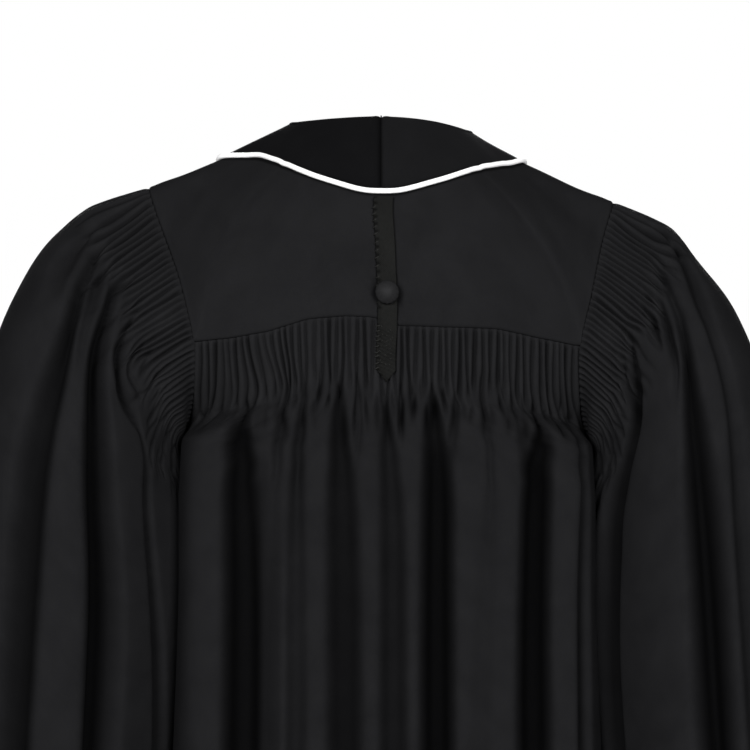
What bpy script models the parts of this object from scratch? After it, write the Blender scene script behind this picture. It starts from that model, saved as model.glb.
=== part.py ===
"""A clergy robe as worn, hollow and full length.

Metres, +Z up. The back of the robe faces +Y and the wearer's left side is +X. The origin is the
middle of the neck, level with the shoulders, where the wearer carries the robe.
"""

import math

import bmesh
import bpy
import numpy as np
from mathutils import Vector

CLOTH_WALL = 0.0020  # panels and sleeves, one layer of suiting with its turned hems
YOKE_WALL = 0.0022  # the yoke is two layers and an interlining
COLLAR_WALL = 0.0018
SEAM_GAP = 0.0004  # between pieces that are sewn together
HEM_Z = -1.360
BACK_SEAM_Z = -0.172  # the yoke seam at the middle of the back
FRONT_SEAM_Z = -0.150
UNDERARM_DROP = 0.115  # from the yoke seam down to the underarm, along a panel
OPENING_GAP = 0.0006  # half the gap between the two fronts

FLUTE_DEPTH = 0.0034
FLUTE_PROUD = 0.0003  # how far the flutes' crowns stand out past the yoke
FLUTE_LENGTH = 0.058
FLUTE_FADE = 0.028
BACK_FLUTES = 54
FRONT_FLUTES = 20  # on each front
SLEEVE_FLUTES = 23  # before and again behind the top of each sleeve
SLEEVE_RINGS = (0.0, 0.08, 0.16, 0.205, 0.25, 0.31, 0.38, 0.46, 0.55, 0.66, 0.77, 0.88, 1.0)
LAST_FLUTED_RING, LAST_GATHERED_RING = 0.16, 0.31
SLEEVE_FLUTE_SPAN = 0.445  # share of the armhole, from the top, that each of those groups takes

COLLAR_ROLL = 0.0018  # radius of the fold along the top of the collar
COLLAR_CLEAR = 0.0017  # from the yoke to the middle of the collar's edge
PIPING_RADIUS = 0.0026
PIPING_REACH = 0.0031  # from the collar's edge to the piping's middle

STRAP_WIDTH = 0.020
STRAP_THICK = 0.0015
STRAP_CLEAR = 0.0008
STRAP_END_DROP = 0.060  # the strap's point, below the yoke seam
BUTTON_RADIUS = 0.012
BUTTON_HEIGHT = 0.0075
BUTTON_Z = -0.141

PLACKET_WIDTH = 0.036
PLACKET_THICK = 0.0018

LEAN = 0.0125  # the robe hangs higher on the wearer's left, in metres for each metre across
SHOULDER_DROP = 0.008  # and the right shoulder lower again
LEAN_ENDS_Z = (-0.25, -0.60)
SWAY = 0.006  # below the collar the robe hangs this far towards the wearer's right


def table(columns, *rows):
    """A short table: each named column as an array."""
    values = np.array(rows, float)
    return dict(zip(columns.split(), values.T))


# The robe's plan at each height: half its width, and how far its back and front stand from the middle.
BODY = table(
    "z half_width back front",
    (-1.40, 0.405, 0.285, 0.275),
    (-1.15, 0.342, 0.245, 0.240),
    (-0.90, 0.280, 0.205, 0.202),
    (-0.66, 0.228, 0.170, 0.168),
    (-0.56, 0.2205, 0.158, 0.158),
    (-0.45, 0.2165, 0.147, 0.148),
    (-0.36, 0.2165, 0.140, 0.139),
    (-0.33, 0.2155, 0.138, 0.136),
    (-0.30, 0.2128, 0.136, 0.133),
    (-0.24, 0.2100, 0.133, 0.128),
    (-0.17, 0.200, 0.126, 0.122),
    (-0.10, 0.200, 0.120, 0.116),
)
SIDE_SEAM_FORWARD = 0.035  # the side seams lie this far before the middle, behind the sleeves

# The seam where a sleeve is set in, from the top of the shoulder down the back and up the front.
ARMHOLE = table(
    "x y z",
    (0.2417, 0.000, -0.040),
    (0.2247, 0.045, -0.0855),
    (0.2080, 0.080, -0.139),
    (0.1954, 0.100, -0.190),
    (0.1960, 0.088, -0.238),
    (0.2030, 0.050, -0.276),
    (0.2120, 0.000, -0.292),
    (0.2030, -0.052, -0.268),
    (0.1940, -0.088, -0.218),
    (0.1930, -0.098, -0.162),
    (0.2080, -0.074, -0.108),
    (0.2270, -0.038, -0.066),
)
BACK_CORNER, UNDERARM, FRONT_CORNER = 3, 6, 9  # rows of that table

# A sleeve's rings, from the armhole to the cuff: the outer side of the left and of the right one, the
# inner side, the half depths, and how far a ring's middle lies behind the shoulders.
SLEEVE = table(
    "t left_x left_z right_x right_z inner_x inner_z back front behind",
    (0.00, 0.2417, -0.040, 0.2417, -0.040, 0.2120, -0.292, 0.100, 0.098, 0.000),
    (0.08, 0.2790, -0.046, 0.2790, -0.050, 0.2129, -0.297, 0.113, 0.110, 0.004),
    (0.16, 0.3135, -0.061, 0.3097, -0.068, 0.2137, -0.305, 0.123, 0.119, 0.010),
    (0.25, 0.3500, -0.092, 0.3360, -0.105, 0.2138, -0.320, 0.130, 0.127, 0.020),
    (0.36, 0.3860, -0.148, 0.3630, -0.149, 0.2128, -0.346, 0.134, 0.132, 0.032),
    (0.50, 0.4180, -0.240, 0.3900, -0.221, 0.2118, -0.394, 0.137, 0.137, 0.040),
    (0.70, 0.4385, -0.395, 0.4125, -0.372, 0.2145, -0.505, 0.147, 0.148, 0.042),
    (1.00, 0.4540, -0.665, 0.4345, -0.660, 0.2320, -0.700, 0.176, 0.176, 0.042),
)
SLEEVE_TURN = 0.5  # how strongly the cloth runs downwards from the armhole

# The neck edge of half the yoke, from the middle of the back (0) to the middle of the front (1), with
# how far out and down each line from neck to seam bends, and how high the collar stands on it.
NECK = table(
    "g x y z bend_out bend_down stand",
    (0.000, 0.0000, 0.066, 0.012, 0.80, 0.25, 0.0260),
    (0.134, 0.0310, 0.061, 0.013, 0.79, 0.26, 0.0240),
    (0.267, 0.0590, 0.047, 0.017, 0.76, 0.30, 0.0190),
    (0.400, 0.0830, 0.024, 0.023, 0.66, 0.38, 0.0120),
    (0.517, 0.0940, -0.002, 0.026, 0.56, 0.45, 0.0085),
    (0.630, 0.0890, -0.036, 0.016, 0.62, 0.40, 0.0075),
    (0.745, 0.0670, -0.071, -0.014, 0.68, 0.36, 0.0065),
    (0.880, 0.0330, -0.101, -0.064, 0.55, 0.42, 0.0060),
    (1.000, 0.0006, -0.117, -0.118, 0.50, 0.50, 0.0055),
)
BACK_CORNER_G, SHOULDER_G, FRONT_CORNER_G = 0.267, 0.517, 0.745
COLLAR_END_G = 0.965  # where the collar ends, just before the middle of the front

# The collar's width, as a share of the way from neck to seam.
COLLAR = table(
    "g width",
    (0.000, 0.391),
    (0.067, 0.355),
    (0.134, 0.302),
    (0.200, 0.244),
    (0.267, 0.197),
    (0.334, 0.205),
    (0.400, 0.226),
    (0.460, 0.268),
    (0.517, 0.322),
    (0.570, 0.341),
    (0.630, 0.362),
    (0.690, 0.371),
    (0.745, 0.351),
    (0.800, 0.418),
    (0.860, 0.476),
    (0.920, 0.505),
    (1.000, 0.500),
)

# Valleys between the hanging folds: where each lies across the robe at the elbows, its half width, its
# depth there, and how far below the yoke seam it opens.
BACK_FOLDS = table(
    "x width depth start",
    (0.2070, 0.0070, 0.012, 0.080),
    (0.1400, 0.0150, 0.025, 0.050),
    (0.0930, 0.0100, 0.009, 0.070),
    (0.0430, 0.0130, 0.021, 0.045),
    (-0.0050, 0.0120, 0.016, 0.055),
    (-0.0490, 0.0130, 0.026, 0.050),
    (-0.0960, 0.0080, 0.006, 0.120),
    (-0.1460, 0.0150, 0.027, 0.060),
    (-0.1930, 0.0100, 0.015, 0.070),
)
FRONT_FOLDS = table(
    "x width depth start",
    (0.0480, 0.0120, 0.018, 0.055),
    (0.0950, 0.0130, 0.023, 0.050),
    (0.1430, 0.0130, 0.019, 0.060),
    (0.1900, 0.0110, 0.014, 0.070),
)
FOLD_OPENS = 0.070  # the drop over which a fold reaches its depth
FOLD_GROWS = 0.85  # how much deeper it is at the hem, as a share
ELBOW_DROP = 0.30

# The same for the sleeves, placed by their share of the way round from the top over the back: near the
# armhole, and from half way down.
LEFT_SLEEVE_FOLDS = table(
    "q_head q width depth start",
    (0.075, 0.115, 0.0170, 0.021, 0.075),
    (0.130, 0.206, 0.0190, 0.030, 0.070),
    (0.190, 0.308, 0.0110, 0.015, 0.070),
    (0.800, 0.700, 0.0150, 0.022, 0.065),
    (0.865, 0.790, 0.0180, 0.028, 0.070),
    (0.925, 0.885, 0.0170, 0.019, 0.075),
)
RIGHT_SLEEVE_FOLDS = table(
    "q_head q width depth start",
    (0.030, 0.080, 0.0140, 0.009, 0.065),
    (0.095, 0.178, 0.0170, 0.027, 0.075),
    (0.190, 0.303, 0.0190, 0.030, 0.065),
    (0.270, 0.365, 0.0090, 0.009, 0.070),
    (0.790, 0.680, 0.0160, 0.025, 0.065),
    (0.870, 0.795, 0.0180, 0.027, 0.070),
    (0.935, 0.890, 0.0160, 0.018, 0.075),
)
SLEEVE_FOLD_OPENS = 0.090
SLEEVE_ROUND = 0.80  # metres round a sleeve, to turn a fold's width into a share

CLOTH_BLACK = (0.0125, 0.0125, 0.0135, 1.0)
COLLAR_BLACK = (0.0085, 0.0085, 0.0090, 1.0)
STRAP_BLACK = (0.0110, 0.0110, 0.0105, 1.0)
PIPING_WHITE = (0.85, 0.85, 0.84, 1.0)


def smooth(t):
    """0 below 0 and 1 above 1, level at both ends."""
    t = np.clip(t, 0.0, 1.0)
    return t * t * (3.0 - 2.0 * t)


def through(keys, values, at):
    """A smooth curve through the values at the keys: a cubic between neighbours."""
    keys, at = np.asarray(keys, float), np.asarray(at, float)
    slope = np.gradient(values, keys)
    i = np.clip(np.searchsorted(keys, at, side="right") - 1, 0, len(keys) - 2)
    step = keys[i + 1] - keys[i]
    t = (at - keys[i]) / step
    rise = (2 * t**3 - 3 * t**2 + 1) * values[i] + (3 * t**2 - 2 * t**3) * values[i + 1]
    return rise + step * ((t**3 - 2 * t**2 + t) * slope[i] + (t**3 - t**2) * slope[i + 1])


def read(rows, key, column, at):
    """A table's column at any value of its key column, whose rows may run either way."""
    order = np.argsort(rows[key])
    return through(rows[key][order], rows[column][order], at)


def armhole_lengths():
    """Share of the way round the armhole at each of its table's rows, and once more at the start."""
    loop = np.stack([ARMHOLE[c] for c in "xyz"], axis=1)
    steps = np.linalg.norm(np.roll(loop, -1, axis=0) - loop, axis=1)
    return np.concatenate([[0.0], np.cumsum(steps)]) / steps.sum()


ARMHOLE_Q = armhole_lengths()


def armhole(q):
    """A point of the left armhole: q runs from 0 at the shoulder over the back and round to 1."""
    q = np.asarray(q, float)
    keys = np.concatenate([ARMHOLE_Q[-4:-1] - 1.0, ARMHOLE_Q, ARMHOLE_Q[1:4] + 1.0])
    columns = []
    for c in "xyz":
        once = np.append(ARMHOLE[c], ARMHOLE[c][0])
        values = np.concatenate([once[-4:-1], once, once[1:4]])
        columns.append(through(keys, values, q % 1.0))
    return np.stack(columns, axis=-1)


def hang(points):
    """The robe's slight lean: it rises towards the wearer's left and its right shoulder drops."""
    points = np.array(points, float)
    x, y, z = points[..., 0], points[..., 1], points[..., 2]
    fade = smooth((z - LEAN_ENDS_Z[1]) / (LEAN_ENDS_Z[0] - LEAN_ENDS_Z[1]))
    near_shoulder = smooth((-x - 0.02) / 0.10) * smooth((0.10 - y) / 0.09)
    points[..., 0] = x - SWAY * smooth((-z - 0.05) / 0.10)
    points[..., 2] = z + fade * (LEAN * x - SHOULDER_DROP * near_shoulder)
    return points


def row_end(drop, face):
    """Where a panel's row meets the armhole or the side seam, on the left. face is 1 behind, -1 before."""
    corner = ARMHOLE_Q[BACK_CORNER] if face > 0 else ARMHOLE_Q[FRONT_CORNER]
    along = np.clip(drop / UNDERARM_DROP, 0.0, 1.0)
    end = armhole(corner + (ARMHOLE_Q[UNDERARM] - corner) * along)
    seam_z = BACK_SEAM_Z if face > 0 else FRONT_SEAM_Z
    below = np.clip((drop - UNDERARM_DROP) / (seam_z - HEM_Z - UNDERARM_DROP), 0.0, 1.0)
    side_z = end[..., 2] + (HEM_Z - end[..., 2]) * below
    x = np.where(below > 0, read(BODY, "z", "half_width", side_z), end[..., 0])
    at_underarm = read(BODY, "z", "half_width", ARMHOLE["z"][UNDERARM])
    settle = (ARMHOLE["x"][UNDERARM] - at_underarm) * (1.0 - smooth(below / 0.08))
    x = np.where(below > 0, x + settle, x)
    forward = SIDE_SEAM_FORWARD * smooth(below / 0.03) * (1.0 - smooth((below - 0.35) / 0.35))
    y = np.where(below > 0, -forward, end[..., 1]) + face * SEAM_GAP / 2
    return x, y, side_z


def body_rows(drop, across, face):
    """The robe's plain surface under its folds, and its outward direction in plan.

    At the side seams that direction is straight sideways, so that back and front meet there.

    drop is each row's distance below the yoke seam. across holds each row's places from -1 at the right
    side over 0 in the middle to 1 at the left side, as shares of the row's own length.
    """
    drop = np.atleast_1d(np.asarray(drop, float))
    across = np.broadcast_to(across, (len(drop), np.shape(across)[-1]))
    seam_z = BACK_SEAM_Z if face > 0 else FRONT_SEAM_Z
    depth_column = "back" if face > 0 else "front"
    mid_z = seam_z - drop
    end_x, end_y, end_z = row_end(drop, face)
    depth = read(BODY, "z", depth_column, mid_z)
    square = 1.0 - 0.5 * smooth(drop / (1.9 * UNDERARM_DROP))
    s = np.sin(np.linspace(0.0, math.pi / 2, 161))
    bulge = np.power(np.maximum(1.0 - s[None, :] ** 2.6, 0.0), square[:, None])
    x = end_x[:, None] * s
    y = end_y[:, None] + (face * depth - end_y)[:, None] * bulge
    z = mid_z[:, None] + (end_z - mid_z)[:, None] * s**1.9
    length = np.cumsum(np.hypot(np.diff(x, axis=1), np.diff(y, axis=1)), axis=1)
    length = np.concatenate([np.zeros((len(drop), 1)), length], axis=1)
    out = np.empty(across.shape + (3,))
    normal = np.zeros(across.shape + (3,))
    for i in range(len(drop)):
        part = np.abs(across[i]) * length[i, -1]
        tangent = []
        for k, values in enumerate((x[i], y[i], z[i])):
            out[i, :, k] = np.interp(part, length[i], values)
            ahead = np.interp(np.minimum(part + 0.002, length[i, -1]), length[i], values)
            behind = np.interp(np.maximum(part - 0.002, 0.0), length[i], values)
            tangent.append(ahead - behind)
        at_side = smooth((np.abs(across[i]) - 0.95) / 0.05) * smooth(2.5 * drop[i] / UNDERARM_DROP - 1.5)
        tangent[0] = tangent[0] * (1.0 - at_side)
        size = np.hypot(tangent[0], tangent[1])
        side = np.where(across[i] < 0, -1.0, 1.0)
        out[i, :, 0] *= side
        normal[i, :, 0] = -face * tangent[1] / size * side
        normal[i, :, 1] = face * tangent[0] / size
    return out, normal


def share_across(x, face):
    """The share of a row, from -1 to 1, at which the robe is that far across at the elbows."""
    fine = np.linspace(0.0, 1.0, 201)
    row, _ = body_rows([ELBOW_DROP], fine, face)
    return np.sign(x) * np.interp(np.abs(x), row[0, :, 0], fine)


def row_length(face):
    """Length of half a row at the elbows."""
    row, _ = body_rows([ELBOW_DROP], np.linspace(0.0, 1.0, 61), face)
    return float(np.linalg.norm(np.diff(row[0], axis=0), axis=1).sum())


def fold_depth(across, drop, folds, face):
    """How far the folds' valleys sink the cloth, in metres, at places across rows of that drop."""
    length = row_length(face)
    fall = abs(HEM_Z - (BACK_SEAM_Z if face > 0 else FRONT_SEAM_Z))
    sunk = np.zeros(np.broadcast(across, drop).shape)
    for x, width, depth, start in zip(*(folds[c] for c in ("x", "width", "depth", "start"))):
        middle = share_across(x, face)
        opened = smooth((drop - start) / FOLD_OPENS) * (1.0 + FOLD_GROWS * drop / fall)
        sunk = sunk + depth * opened * np.exp(-(((across - middle) * length / width) ** 2))
    return sunk * smooth((1.0 - np.abs(across)) * length / 0.012)


def fold_places(middles, widths, ends):
    """Column places for a panel: each valley, both its flanks, and the crowns between valleys."""
    places = [*ends]
    for middle, width in zip(middles, widths):
        places += [middle, middle - width, middle + width]
    order = np.sort(middles)
    places += list((order[1:] + order[:-1]) / 2)
    places = np.sort(np.array(places))
    low, high = min(ends), max(ends)
    places = places[(places >= low) & (places <= high)]
    return places[np.concatenate([[True], np.diff(places) > (high - low) * 0.004])]


def flute_places(count, start, end):
    """Valley and crown of each flute in turn: places, and 0 for a valley or 1 for a crown."""
    places = np.linspace(start, end, 2 * count + 1)
    return places, np.arange(2 * count + 1) % 2


def new_mesh(name, points, faces, material):
    """A mesh object from points and faces, with its faces turned outwards."""
    mesh = bpy.data.meshes.new(name)
    mesh.from_pydata([tuple(p) for p in points], [], faces)
    edit = bmesh.new()
    edit.from_mesh(mesh)
    bmesh.ops.recalc_face_normals(edit, faces=edit.faces)
    edit.to_mesh(mesh)
    edit.free()
    return place(name, mesh, material)


def place(name, data, material):
    """An object of this data in the robe's collection."""
    piece = bpy.data.objects.new(name, data)
    data.materials.append(material)
    bpy.data.collections["clergy_robe"].objects.link(piece)
    return piece


def zip_rows(a, a_at, b, b_at):
    """Triangles between two rows of points, given as numbers with their places along the row."""
    faces, i, j = [], 0, 0
    while i < len(a) - 1 or j < len(b) - 1:
        if j == len(b) - 1 or (i < len(a) - 1 and a_at[i] + a_at[i + 1] <= b_at[j] + b_at[j + 1]):
            faces.append((a[i], a[i + 1], b[j]))
            i += 1
        else:
            faces.append((a[i], b[j + 1], b[j]))
            j += 1
    return faces


def wall(name, outer, inner, material, tube):
    """A closed wall of cloth between outer and inner rows, which may differ in their points.

    Each row is (places, points). The rows of a tube close on themselves; those of a panel end at its
    side edges, where the outer rows are sewn to the inner ones.
    """
    points, sides = [], []
    for rows in (outer, inner):
        numbered = []
        for places, row in rows:
            first = len(points)
            points += list(row)
            numbers, places = list(range(first, first + len(row))), list(places)
            if tube:
                numbers, places = numbers + [first], places + [1.0 + places[0]]
            numbered.append((numbers, places))
        sides.append(numbered)
    outs, ins = sides
    faces = []
    for rows in (outs, ins, [outs[0], ins[0]], [outs[-1], ins[-1]]):
        for (a, a_at), (b, b_at) in zip(rows, rows[1:]):
            faces += zip_rows(a, a_at, b, b_at)
    if not tube:
        for k in (0, -1):
            a, b = [row[k] for row, _ in outs], [row[k] for row, _ in ins]
            faces += zip_rows(a, [-points[n][2] for n in a], b, [-points[n][2] for n in b])
    return new_mesh(name, points, faces, material)


def panel(name, drops, flute_at, flute_up, fold_at, face, folds, material):
    """A hanging panel with flutes under the yoke seam and folds below.

    The flutes are raised in the wall's outer points over a plain inside; the folds bend the whole wall.
    """
    outer, inner = [], []
    for drop in drops:
        fluted = drop <= FLUTE_LENGTH
        below_at = flute_at[::2] if drop <= UNDERARM_DROP else fold_at
        out_at, in_at = (flute_at, flute_at[::2]) if fluted else (below_at, below_at)
        valley = FLUTE_DEPTH * (1.0 - flute_up) - FLUTE_PROUD if fluted else 0.0
        behind = CLOTH_WALL + (0.85 * FLUTE_DEPTH if fluted else 0.0)
        for rows, at, relief in ((outer, out_at, valley), (inner, in_at, behind)):
            base, normal = body_rows([drop], at, face)
            sunk = fold_depth(at, drop, folds, face) + relief
            rows.append((at, hang(base[0] - normal[0] * sunk[:, None])))
    return wall(name, outer, inner, material, tube=False)


def panel_drops(face):
    """The rows of a panel: close together where its folds open, then wider down to the hem."""
    fall = abs(HEM_Z - (BACK_SEAM_Z if face > 0 else FRONT_SEAM_Z))
    opening = [SEAM_GAP, FLUTE_LENGTH, 0.086, UNDERARM_DROP, 0.155, 0.215, 0.30]
    return opening + list(np.linspace(0.42, fall, 7))


def back_panel(material):
    """The back below the yoke, with a flute every 7 mm along its top edge."""
    places, up = flute_places(BACK_FLUTES, -1.0, 1.0)
    length = row_length(1)
    middles = np.array([share_across(x, 1) for x in BACK_FOLDS["x"]])
    fold_at = fold_places(middles, BACK_FOLDS["width"] / length, (-1.0, 1.0))
    return panel("back_panel", panel_drops(1), places, up, fold_at, 1, BACK_FOLDS, material)


def front_panel(name, side, material):
    """One front: flat beside the opening, fluted and folded from there to the side seam."""
    length = row_length(-1)
    edge = OPENING_GAP / length
    plain = (PLACKET_WIDTH / 2 + 0.004) / length
    at, up = flute_places(FRONT_FLUTES, plain, 1.0)
    up[0] = 1
    places = side * np.concatenate([[edge, (edge + plain) / 2], at])
    up = np.concatenate([[1, 1], up])
    middles = np.array([share_across(x, -1) for x in FRONT_FOLDS["x"]])
    fold_at = fold_places(middles, FRONT_FOLDS["width"] / length, (edge, 1.0))
    fold_at = np.sort(np.append(fold_at, plain)) * side
    places, up, fold_at = (v[:: int(side)] for v in (places, up, fold_at))
    folds = dict(FRONT_FOLDS, x=FRONT_FOLDS["x"] * side)
    return panel(name, panel_drops(-1), places, up, fold_at, -1, folds, material)


def sleeve_rings(q, t, side):
    """A sleeve's plain surface, as on the left: q round it from the top over the back, t down it."""
    q, t = np.asarray(q, float), np.asarray(t, float)
    name = "left" if side > 0 else "right"

    def ring(t):
        outer = np.stack([read(SLEEVE, "t", f"{name}_{c}", t) for c in "xz"], -1)
        inner = np.stack([read(SLEEVE, "t", "inner_x", t), read(SLEEVE, "t", "inner_z", t)], -1)
        angle = 2 * math.pi * q + SLEEVE_TURN * smooth(t / 0.20) * np.sin(2 * math.pi * q)
        middle, half = (outer + inner) / 2, (outer - inner) / 2
        depth = np.where(
            np.sin(angle) > 0, read(SLEEVE, "t", "back", t), read(SLEEVE, "t", "front", t)
        )
        flat = middle + half * np.cos(angle)[..., None]
        behind = read(SLEEVE, "t", "behind", t)
        return np.stack([flat[..., 0], behind + depth * np.sin(angle), flat[..., 1]], axis=-1)

    from_seam = armhole(q) - ring(np.zeros(np.shape(t)))
    clear = SEAM_GAP * (3.5 - 1.5 * np.cos(2 * math.pi * q))
    rings = ring(t) + from_seam * (1.0 - smooth(t / 0.30))[..., None]
    rings[..., 0] += clear
    return rings


def sleeve_normals(q, t, side):
    """Outward directions of that surface, from small steps round and along it."""
    step = 0.002
    round_it = sleeve_rings(q + step, t, side) - sleeve_rings(q - step, t, side)
    low = np.maximum(t - step, 0.0)
    along = sleeve_rings(q, low + 2 * step, side) - sleeve_rings(q, low, side)
    normal = np.cross(along, round_it)
    return normal / np.linalg.norm(normal, axis=-1, keepdims=True)


def sleeve_reach(q, t, side):
    """Distance down the cloth from the armhole seam."""
    steps = np.linspace(0.0, 1.0, 41)
    q = np.asarray(q, float)
    line = sleeve_rings(q[None, :], (steps[:, None] * t) * np.ones(len(q)), side)
    return np.linalg.norm(np.diff(line, axis=0), axis=2).sum(axis=0)


def sleeve_fold_middles(folds, t):
    """Where a sleeve's valleys lie at t: they leave the armhole slantwise and then hang straight."""
    return folds["q"] + (folds["q_head"] - folds["q"]) * (1.0 - smooth((t - 0.10) / 0.40))


def sleeve_fold_depth(q, t, folds, side):
    """How far the valleys of a sleeve's folds sink its cloth."""
    reach = sleeve_reach(q, t, side)
    sunk = np.zeros(len(q))
    middles = sleeve_fold_middles(folds, t)
    for middle, width, depth, start in zip(middles, *(folds[c] for c in ("width", "depth", "start"))):
        opened = smooth((reach - start) / SLEEVE_FOLD_OPENS) * (1.0 + 0.5 * t)
        sunk = sunk + depth * opened * np.exp(-(((q - middle) * SLEEVE_ROUND / width) ** 2))
    return sunk


def sleeve(name, side, folds, material):
    """A bell sleeve, fluted round its head and open at the cuff, with folds that hang from the flutes."""
    at, up = flute_places(SLEEVE_FLUTES, 0.0, SLEEVE_FLUTE_SPAN)
    flute_at = np.concatenate([at, [0.482, 0.518], 1.0 - at[:0:-1]])
    flute_up = np.concatenate([up, [0, 0], up[:0:-1]])
    widths = folds["width"] / SLEEVE_ROUND
    mirror = np.array([side, 1.0, 1.0])
    outer, inner = [], []
    for t in SLEEVE_RINGS:
        fluted = t <= LAST_FLUTED_RING
        fold_at = fold_places(sleeve_fold_middles(folds, t), widths, (0.0, 0.985))
        below_at = flute_at[::2] if t <= LAST_GATHERED_RING else fold_at
        out_at = flute_at if fluted else below_at
        in_at = flute_at[::2] if t < LAST_FLUTED_RING else out_at
        for rows, at in ((outer, out_at), (inner, in_at)):
            every = np.full(len(at), t)
            fade = 1.0 - smooth((sleeve_reach(at, t, side) - FLUTE_LENGTH) / FLUTE_FADE)
            fade = fade * smooth((np.abs(at - 0.5) - 0.03) / 0.09)
            if rows is outer:
                relief = FLUTE_DEPTH * (1.0 - flute_up) * fade - FLUTE_PROUD if fluted else 0.0
            else:
                relief = CLOTH_WALL + (0.85 * FLUTE_DEPTH * fade if fluted else 0.0)
            sunk = sleeve_fold_depth(at, t, folds, side) + relief
            base, normal = sleeve_rings(at, every, side), sleeve_normals(at, every, side)
            rows.append((at, hang((base - normal * sunk[:, None]) * mirror)))
    return wall(name, outer, inner, material, tube=True)


def yoke_edge(g):
    """The yoke's outer edge on the left: back seam, armhole over the shoulder, front seam."""
    g = np.asarray(g, float)
    out = np.empty(g.shape + (3,))
    back, front = g <= BACK_CORNER_G, g > FRONT_CORNER_G
    arm = ~back & ~front
    out[back] = body_rows([0.0], g[back] / BACK_CORNER_G, 1)[0][0]
    edge = OPENING_GAP / row_length(-1)
    share = 1.0 + (edge - 1.0) * (g[front] - FRONT_CORNER_G) / (1.0 - FRONT_CORNER_G)
    out[front] = body_rows([0.0], share, -1)[0][0]
    keys = (BACK_CORNER_G, SHOULDER_G, FRONT_CORNER_G)
    turns = (ARMHOLE_Q[BACK_CORNER], 0.0, ARMHOLE_Q[FRONT_CORNER] - 1.0)
    out[arm] = armhole(np.interp(g[arm], keys, turns))
    return out


def yoke_points(g, v):
    """The yoke's outer surface on the left: g round the neck from back to front, v from neck to seam."""
    g, v = np.broadcast_arrays(np.asarray(g, float), np.asarray(v, float))
    inner = np.stack([read(NECK, "g", c, g) for c in "xyz"], axis=-1)
    outer = yoke_edge(g.ravel()).reshape(g.shape + (3,))
    bend = np.stack([read(NECK, "g", c, g) for c in ("bend_out", "bend_out", "bend_down")], axis=-1)
    turn = inner + (outer - inner) * bend
    v = v[..., None]
    return (1 - v) ** 2 * inner + 2 * v * (1 - v) * turn + v**2 * outer


def yoke_normals(g, v):
    """Outward directions of the yoke's surface, from small steps both ways."""
    step = 0.004
    low = np.clip(g - step, 0.0, 1.0 - 2 * step)
    round_it = yoke_points(low + 2 * step, v) - yoke_points(low, v)
    near = np.clip(v - step, 0.0, 1.0 - 2 * step)
    along = yoke_points(g, near + 2 * step) - yoke_points(g, near)
    normal = np.cross(round_it, along)
    normal[np.asarray(g) < step, 0] = 0.0
    return normal / np.linalg.norm(normal, axis=-1, keepdims=True)


def grid_faces(rows, columns):
    """Quads of a plain grid of points."""
    return [
        (r * columns + c, r * columns + c + 1, (r + 1) * columns + c + 1, (r + 1) * columns + c)
        for r in range(rows - 1)
        for c in range(columns - 1)
    ]


def shell(name, grid, thickness, outwards, material):
    """An open grid of points given a wall by Solidify, outwards or inwards of the grid."""
    rows, columns = grid.shape[:2]
    piece = new_mesh(name, grid.reshape(-1, 3), grid_faces(rows, columns), material)
    solid = piece.modifiers.new("wall", "SOLIDIFY")
    solid.thickness = thickness
    solid.offset = outwards
    solid.use_even_offset = True
    return piece


def yoke(material):
    """One piece over both shoulders, from the back seam to the front seams, open down the front."""
    half = yoke_places(1.0)
    g = np.concatenate([-half[:0:-1], half])
    v = np.linspace(0.0, 1.0, 7)
    outer = yoke_points(np.abs(g)[:, None], v[None, :])
    normals = yoke_normals(*np.broadcast_arrays(np.abs(g)[:, None], v[None, :]))
    sewn_flat = (np.abs(g) <= BACK_CORNER_G) | (np.abs(g) >= FRONT_CORNER_G)
    normals[sewn_flat, -1, 2] = 0.0
    for grid in (outer, normals):
        grid[..., 0] *= np.where(g < 0, -1.0, 1.0)[:, None]
    normals[[0, -1], :, 0] = 0.0
    inner = hang(outer - normals * YOKE_WALL)
    outer = hang(outer)
    at = list(g)
    outer = [(at, row) for row in outer.swapaxes(0, 1)]
    inner = [(at, row) for row in inner.swapaxes(0, 1)]
    return wall("yoke", outer, inner, material, tube=False)


def yoke_places(end):
    """The places round half the neck at which the yoke, the collar and its piping are shaped."""
    back = np.linspace(0.0, BACK_CORNER_G, 8)
    over = np.linspace(BACK_CORNER_G, FRONT_CORNER_G, 20)[1:]
    return np.concatenate([back, over, np.linspace(FRONT_CORNER_G, end, 7)[1:]])


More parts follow.
